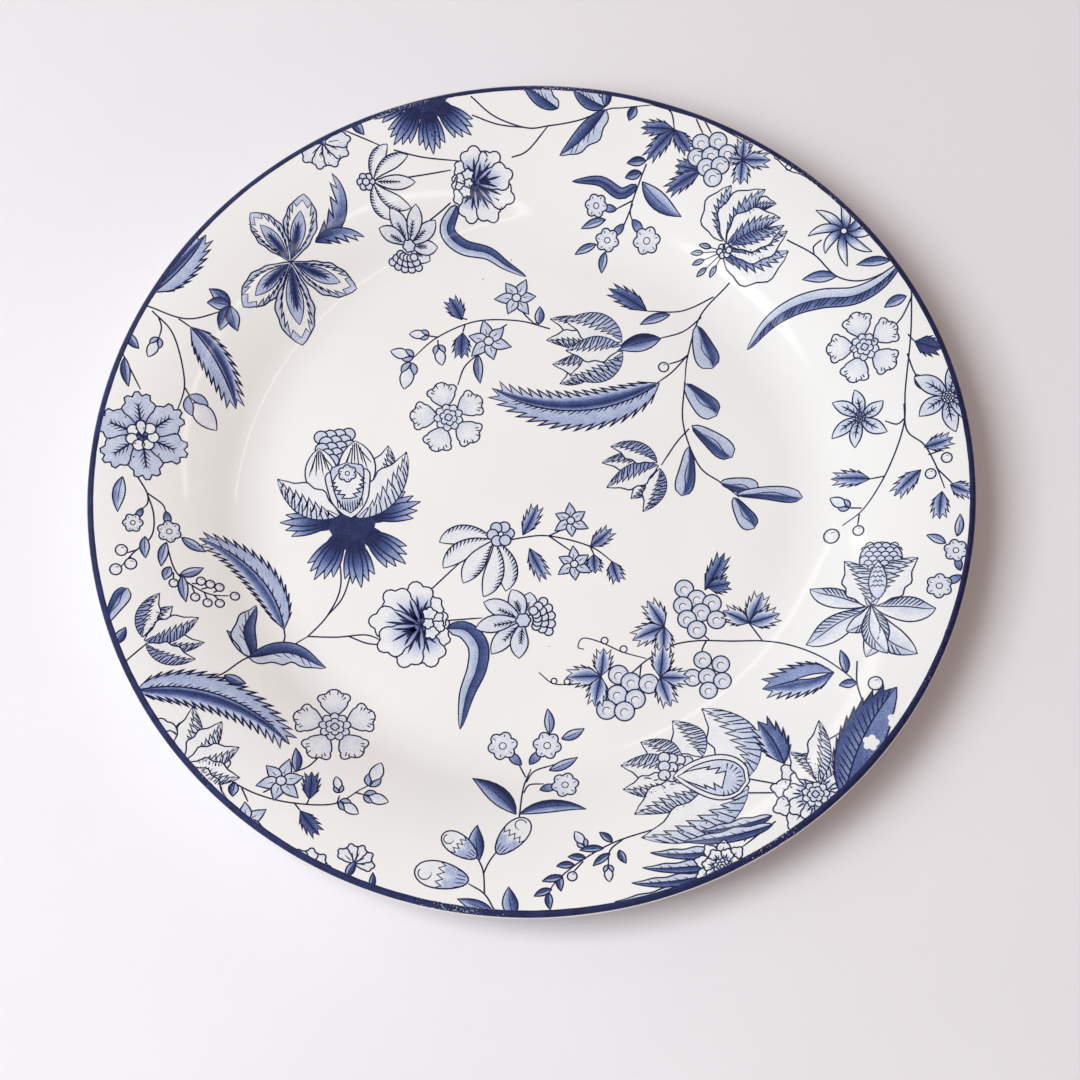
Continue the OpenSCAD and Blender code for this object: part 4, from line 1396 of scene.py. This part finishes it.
def glaze_material():
    n = new_material("Clear glaze over white china")
    body = n.ramp(n.noise(22, 3.0), (0.3, srgb(238, 238, 237)), (0.7, srgb(242, 242, 241)))
    # A few of the cells hold a pinhole.
    cells = n.add("TexVoronoi", Vector=n.place(), Scale=95)
    rare = n.add("TexWhiteNoise", Vector=cells.outputs["Position"])
    middle = n.math("LESS_THAN", cells.outputs["Distance"], 0.025)
    pinhole = n.math("MULTIPLY", middle, n.math("GREATER_THAN", rare.outputs["Value"], 0.9))
    return n.gloss(n.mix(pinhole, body, srgb(126, 118, 110)), 0.06)


def bisque_material():
    n = new_material("Bare fired china")
    colour = n.ramp(n.noise(160, 5.0, 0.65), (0.3, srgb(228, 221, 208)), (0.7, srgb(240, 235, 226)))
    n.set(n.shader, Base_Color=colour, Roughness=n.range(n.noise(600, 3.0), 0.3, 0.7, 0.6, 0.8))
    n.bump(0.25, 0.0002, n.noise(2200, 3.0))
    return n.owner


def band_material():
    """Painted cobalt line: the wear of each vertex sets how much glaze shows through."""
    n = new_material("Fired cobalt rim line")
    colour = n.ramp(n.noise(260, 3.0, 0.6), (0.35, srgb(15, 24, 66)), (0.65, srgb(28, 41, 94)))
    wear = n.add("Attribute", attribute_name="wear")
    worn = n.math("MULTIPLY", wear.outputs["Fac"], n.noise(1500))
    return n.gloss(n.mix(n.range(worn, 0.42, 0.5, 0.0, 0.8), colour, srgb(196, 198, 212)), 0.1, 0.04)


def wash_material():
    """Transfer-printed colour: the tone of each vertex sets how much of the stipple is blue."""
    n = new_material("Blue print wash")
    tone = n.add("Attribute", attribute_name="tone")
    grain = n.range(n.noise(2600, 1.0), 0.35, 0.65, -0.08, 0.08)
    cloud = n.range(n.noise(260), 0.3, 0.7, -0.04, 0.04)
    value = n.math("ADD", n.math("ADD", tone.outputs["Fac"], grain), cloud)
    return n.gloss(n.ramp(value, (0.02, srgb(240, 240, 240)), (0.2, srgb(202, 211, 231)),
                          (0.42, srgb(144, 160, 203)), (0.68, srgb(68, 86, 141)), (0.95, srgb(18, 31, 76))),
                   0.07)


def ink_material():
    n = new_material("Blue print lines")
    return n.gloss(n.ramp(n.noise(900, 3.0, 0.6), (0.3, srgb(12, 19, 60)), (0.75, srgb(25, 36, 86))), 0.07)


def floor_material():
    n = new_material("Pale matt sheet")
    colour = n.ramp(n.noise(9, 4.0), (0.3, srgb(235, 233, 237)), (0.7, srgb(238, 236, 240)))
    n.set(n.shader, Base_Color=colour, Roughness=0.85, Specular_IOR_Level=0.2)
    n.bump(0.15, 0.0003, n.noise(900, 3.0))
    return n.owner


GLAZE_FINISH = glaze_material()
WASH_FINISH = wash_material()
INK_FINISH = ink_material()


# ---------------------------------------------------------------- the platter's pieces
def ride(obj, slot, *nodes):
    """Puts a piece on the body, in place of its CAD nodes if it has any. The slot is not used."""
    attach(obj, "root")
    if nodes:
        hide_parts(*nodes)


def glaze_loop():
    """Half section of the glaze: over the face, round the lip, under the rim to the foot, and back inside."""
    fine = math.radians(1.2)

    def face(d):
        line = arc(VERGE_C, VERGE_R + d, -math.pi / 2, VERGE_SLOPE - math.pi / 2, fine)
        line += arc(RIM_C, RIM_R - d, math.pi / 2 + VERGE_SLOPE, math.pi / 2 + LIP_SLOPE, fine / 2)
        return [complex(0, WELL_Z - d), complex(WELL_R / 2, WELL_Z - d)] + line

    def back(d):
        back_r = VERGE_R + WALL - d
        foot_turn = math.asin((FOOT_OUT + FOOT_FILLET - WELL_R) / back_r) - math.pi / 2
        under = arc(RIM_C, RIM_R - WALL + d, math.pi / 2 + LIP_SLOPE, math.pi / 2 + VERGE_SLOPE, fine / 2)
        under += arc(VERGE_C, back_r, VERGE_SLOPE - math.pi / 2, foot_turn, fine)
        meet = under[-1]
        # Down the fillet and the outside of the foot ring to its bare edge.
        return under + [complex(meet.real - 0.9, meet.imag - 0.55),
                        complex(FOOT_OUT - 0.05 - d, meet.imag - 1.5),
                        complex(FOOT_REST_OUT + 0.15 - d, FOOT_BARE)]

    def lip(d):
        return arc(LIP_C, LIP_R - d, math.pi / 2 + LIP_SLOPE, LIP_SLOPE - math.pi / 2, math.radians(7))[1:-1]

    outer = face(0) + lip(0) + back(0)
    inner = face(GLAZE) + lip(GLAZE) + back(GLAZE)
    return outer + inner[::-1]


def rim_line():
    """The painted line on the lip: a thin ring with slightly uneven edges, more worn to one side."""
    segments, across = 720, 8
    rise, sink = 0.05, 0.04
    outer_edge, inner_edge = math.radians(28), math.radians(106)
    verts, wear = [], []
    for k in range(segments):
        a = TAU * k / segments
        at = Vector((math.cos(a), math.sin(a), 0))
        outer = outer_edge + 0.06 * noise.noise(at * 9)
        inner = inner_edge + 0.05 * noise.noise(at * 40 + Vector((3, 0, 0))) + 0.04 * noise.noise(at * 7)
        worn = 0.55 + 0.35 * noise.noise(at * 3.5 + Vector((0, 0, 5)))
        worn += 0.13 * max(0.0, math.cos(a + 0.6)) ** 8
        section = [(LIP_R + rise, i / (across - 1)) for i in range(across)]
        section += [(LIP_R - sink, 0.97), (LIP_R - sink, 0.03)]
        for radius, u in section:
            p = LIP_C + polar(radius, outer + (inner - outer) * u)
            q = polar(p.real, a)
            verts.append((q.real * MM, q.imag * MM, p.imag * MM))
            wear.append(worn + (0.12 if u < 0.1 or u > 0.9 else 0))
    size = across + 2
    faces = []
    for k in range(segments):
        here, ahead = k * size, (k + 1) % segments * size
        for i in range(size):
            j = (i + 1) % size
            faces.append((here + i, ahead + i, ahead + j, here + j))
    obj = add_mesh("rim_line", verts, faces, band_material())
    smooth_shade(obj.data, 50)
    store(obj.data, "wear", wear)
    return obj


LATHE_SEGMENTS = 384
glaze_coat = lathe("glaze_coat", glaze_loop(), LATHE_SEGMENTS, GLAZE_FINISH)
ride(glaze_coat, "face_glaze", "face_glaze", "back_glaze")
ride(rim_line(), "cobalt_band", "rim_band")
for spray, draw in SPRAYS:
    wash, ink = Shell(spray + "_wash"), Shell(spray + "_ink")
    draw(Pen(wash, ink, {}))
    ride(wash.build(WASH_FINISH), "blue_print", spray)
    ride(ink.build(INK_FINISH), "blue_print")

# The bare body and the glaze under the base are shown as they are in the CAD.
for node, finish in (("china_body", bisque_material()), ("base_glaze", GLAZE_FINISH)):
    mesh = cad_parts[node].data
    mesh.materials.clear()
    mesh.materials.append(finish)


# ---------------------------------------------------------------- floor, light and camera
HALF = 6.0
floor = add_mesh("floor", [(-HALF, -HALF, 0), (HALF, -HALF, 0), (HALF, HALF, 0), (-HALF, HALF, 0)],
                 [(0, 1, 2, 3)], floor_material())


def pose(obj, x, y, z, place):
    """Puts an object at a place, with its own axes along x, y and z."""
    obj.matrix_world = Matrix([*zip(x, y, z, place), (0, 0, 0, 1)])


def area_light(name, middle, along, width, radiance, colour):
    """A rectangle light at a point, as long as the vector along, facing the platter."""
    data = bpy.data.lights.new(name, "AREA")
    data.shape = "RECTANGLE"
    data.size, data.size_y = along.length, width
    data.energy = radiance * math.pi * along.length * width
    data.color = colour
    light = add_object(name, data)
    back = middle.normalized()
    side = (along - back * along.dot(back)).normalized()
    pose(light, side, back.cross(side), back, middle)
    return light


def strip_light(name, start, end, width, radiance):
    """A narrow, slightly warm light between two points."""
    start, end = Vector(start), Vector(end)
    area_light(name, (start + end) / 2, end - start, width, radiance, (1, 0.97, 0.93))


key = area_light("key", Vector((-0.62, -0.2, 1.08)), Vector((0, 0.6, 0)), width=0.75, radiance=8.1,
                 colour=(0.95, 0.985, 1.0))
key.visible_glossy = False
strip_light("overhead_strip", (-0.1, -0.45, 1.2), (0.6, 0.45, 1.2), width=0.03, radiance=2.6)
strip_light("left_strip", (-0.32, -0.39, 1.2), (-0.87, 0.5, 0.82), width=0.035, radiance=3.0)
strip_light("back_strip", (-0.65, 0.62, 0.93), (-0.05, 0.66, 1.11), width=0.06, radiance=2.0)

bpy.context.scene.world = bpy.data.worlds.new("soft room light")
bpy.context.scene.view_settings.view_transform = "Standard"
room = Nodes(bpy.context.scene.world)
# The room is lighter at the left, by the window, and darker and warmer at the right.
toward = room.add("SeparateXYZ", Vector=room.add("TexCoord").outputs["Generated"])
walls = room.ramp(room.range(toward.outputs["X"], -1, 1, 0, 1),
                  (0.25, (0.95, 0.97, 1.0, 1)), (0.85, (0.4, 0.19, 0.09, 1)))
glow = room.set(room.tree.nodes["Background"], Color=walls, Strength=0.58)
# Behind the floor the camera sees a pale backdrop.
backdrop = room.add("Background", Color=(0.74, 0.73, 0.75, 1))
choice = room.add("MixShader", Fac=room.add("LightPath").outputs["Is Camera Ray"])
room.feed(choice.inputs[1], glow.outputs["Background"])
room.feed(choice.inputs[2], backdrop.outputs["Background"])
room.set(room.tree.nodes["World Output"], Surface=choice.outputs["Shader"])

# The camera stands a metre from the middle of the lip's plane.
ELEVATION = math.radians(69.07)
ROLL = math.radians(4.01)
LIP_PLANE = 0.0235
aim = Vector((0.0018, -0.0221, LIP_PLANE))
eye = Vector((0, -math.cos(ELEVATION), LIP_PLANE + math.sin(ELEVATION)))
look = (aim - eye).normalized()
right_hand = look.cross(Vector((0, 0, 1))).normalized()
upward = right_hand.cross(look)
camera = add_object("camera", bpy.data.cameras.new("camera"))
camera.data.lens = 97.2
camera.data.sensor_width = 36
pose(camera, math.cos(ROLL) * right_hand - math.sin(ROLL) * upward,
     math.sin(ROLL) * right_hand + math.cos(ROLL) * upward, -look, eye)
bpy.context.scene.camera = camera
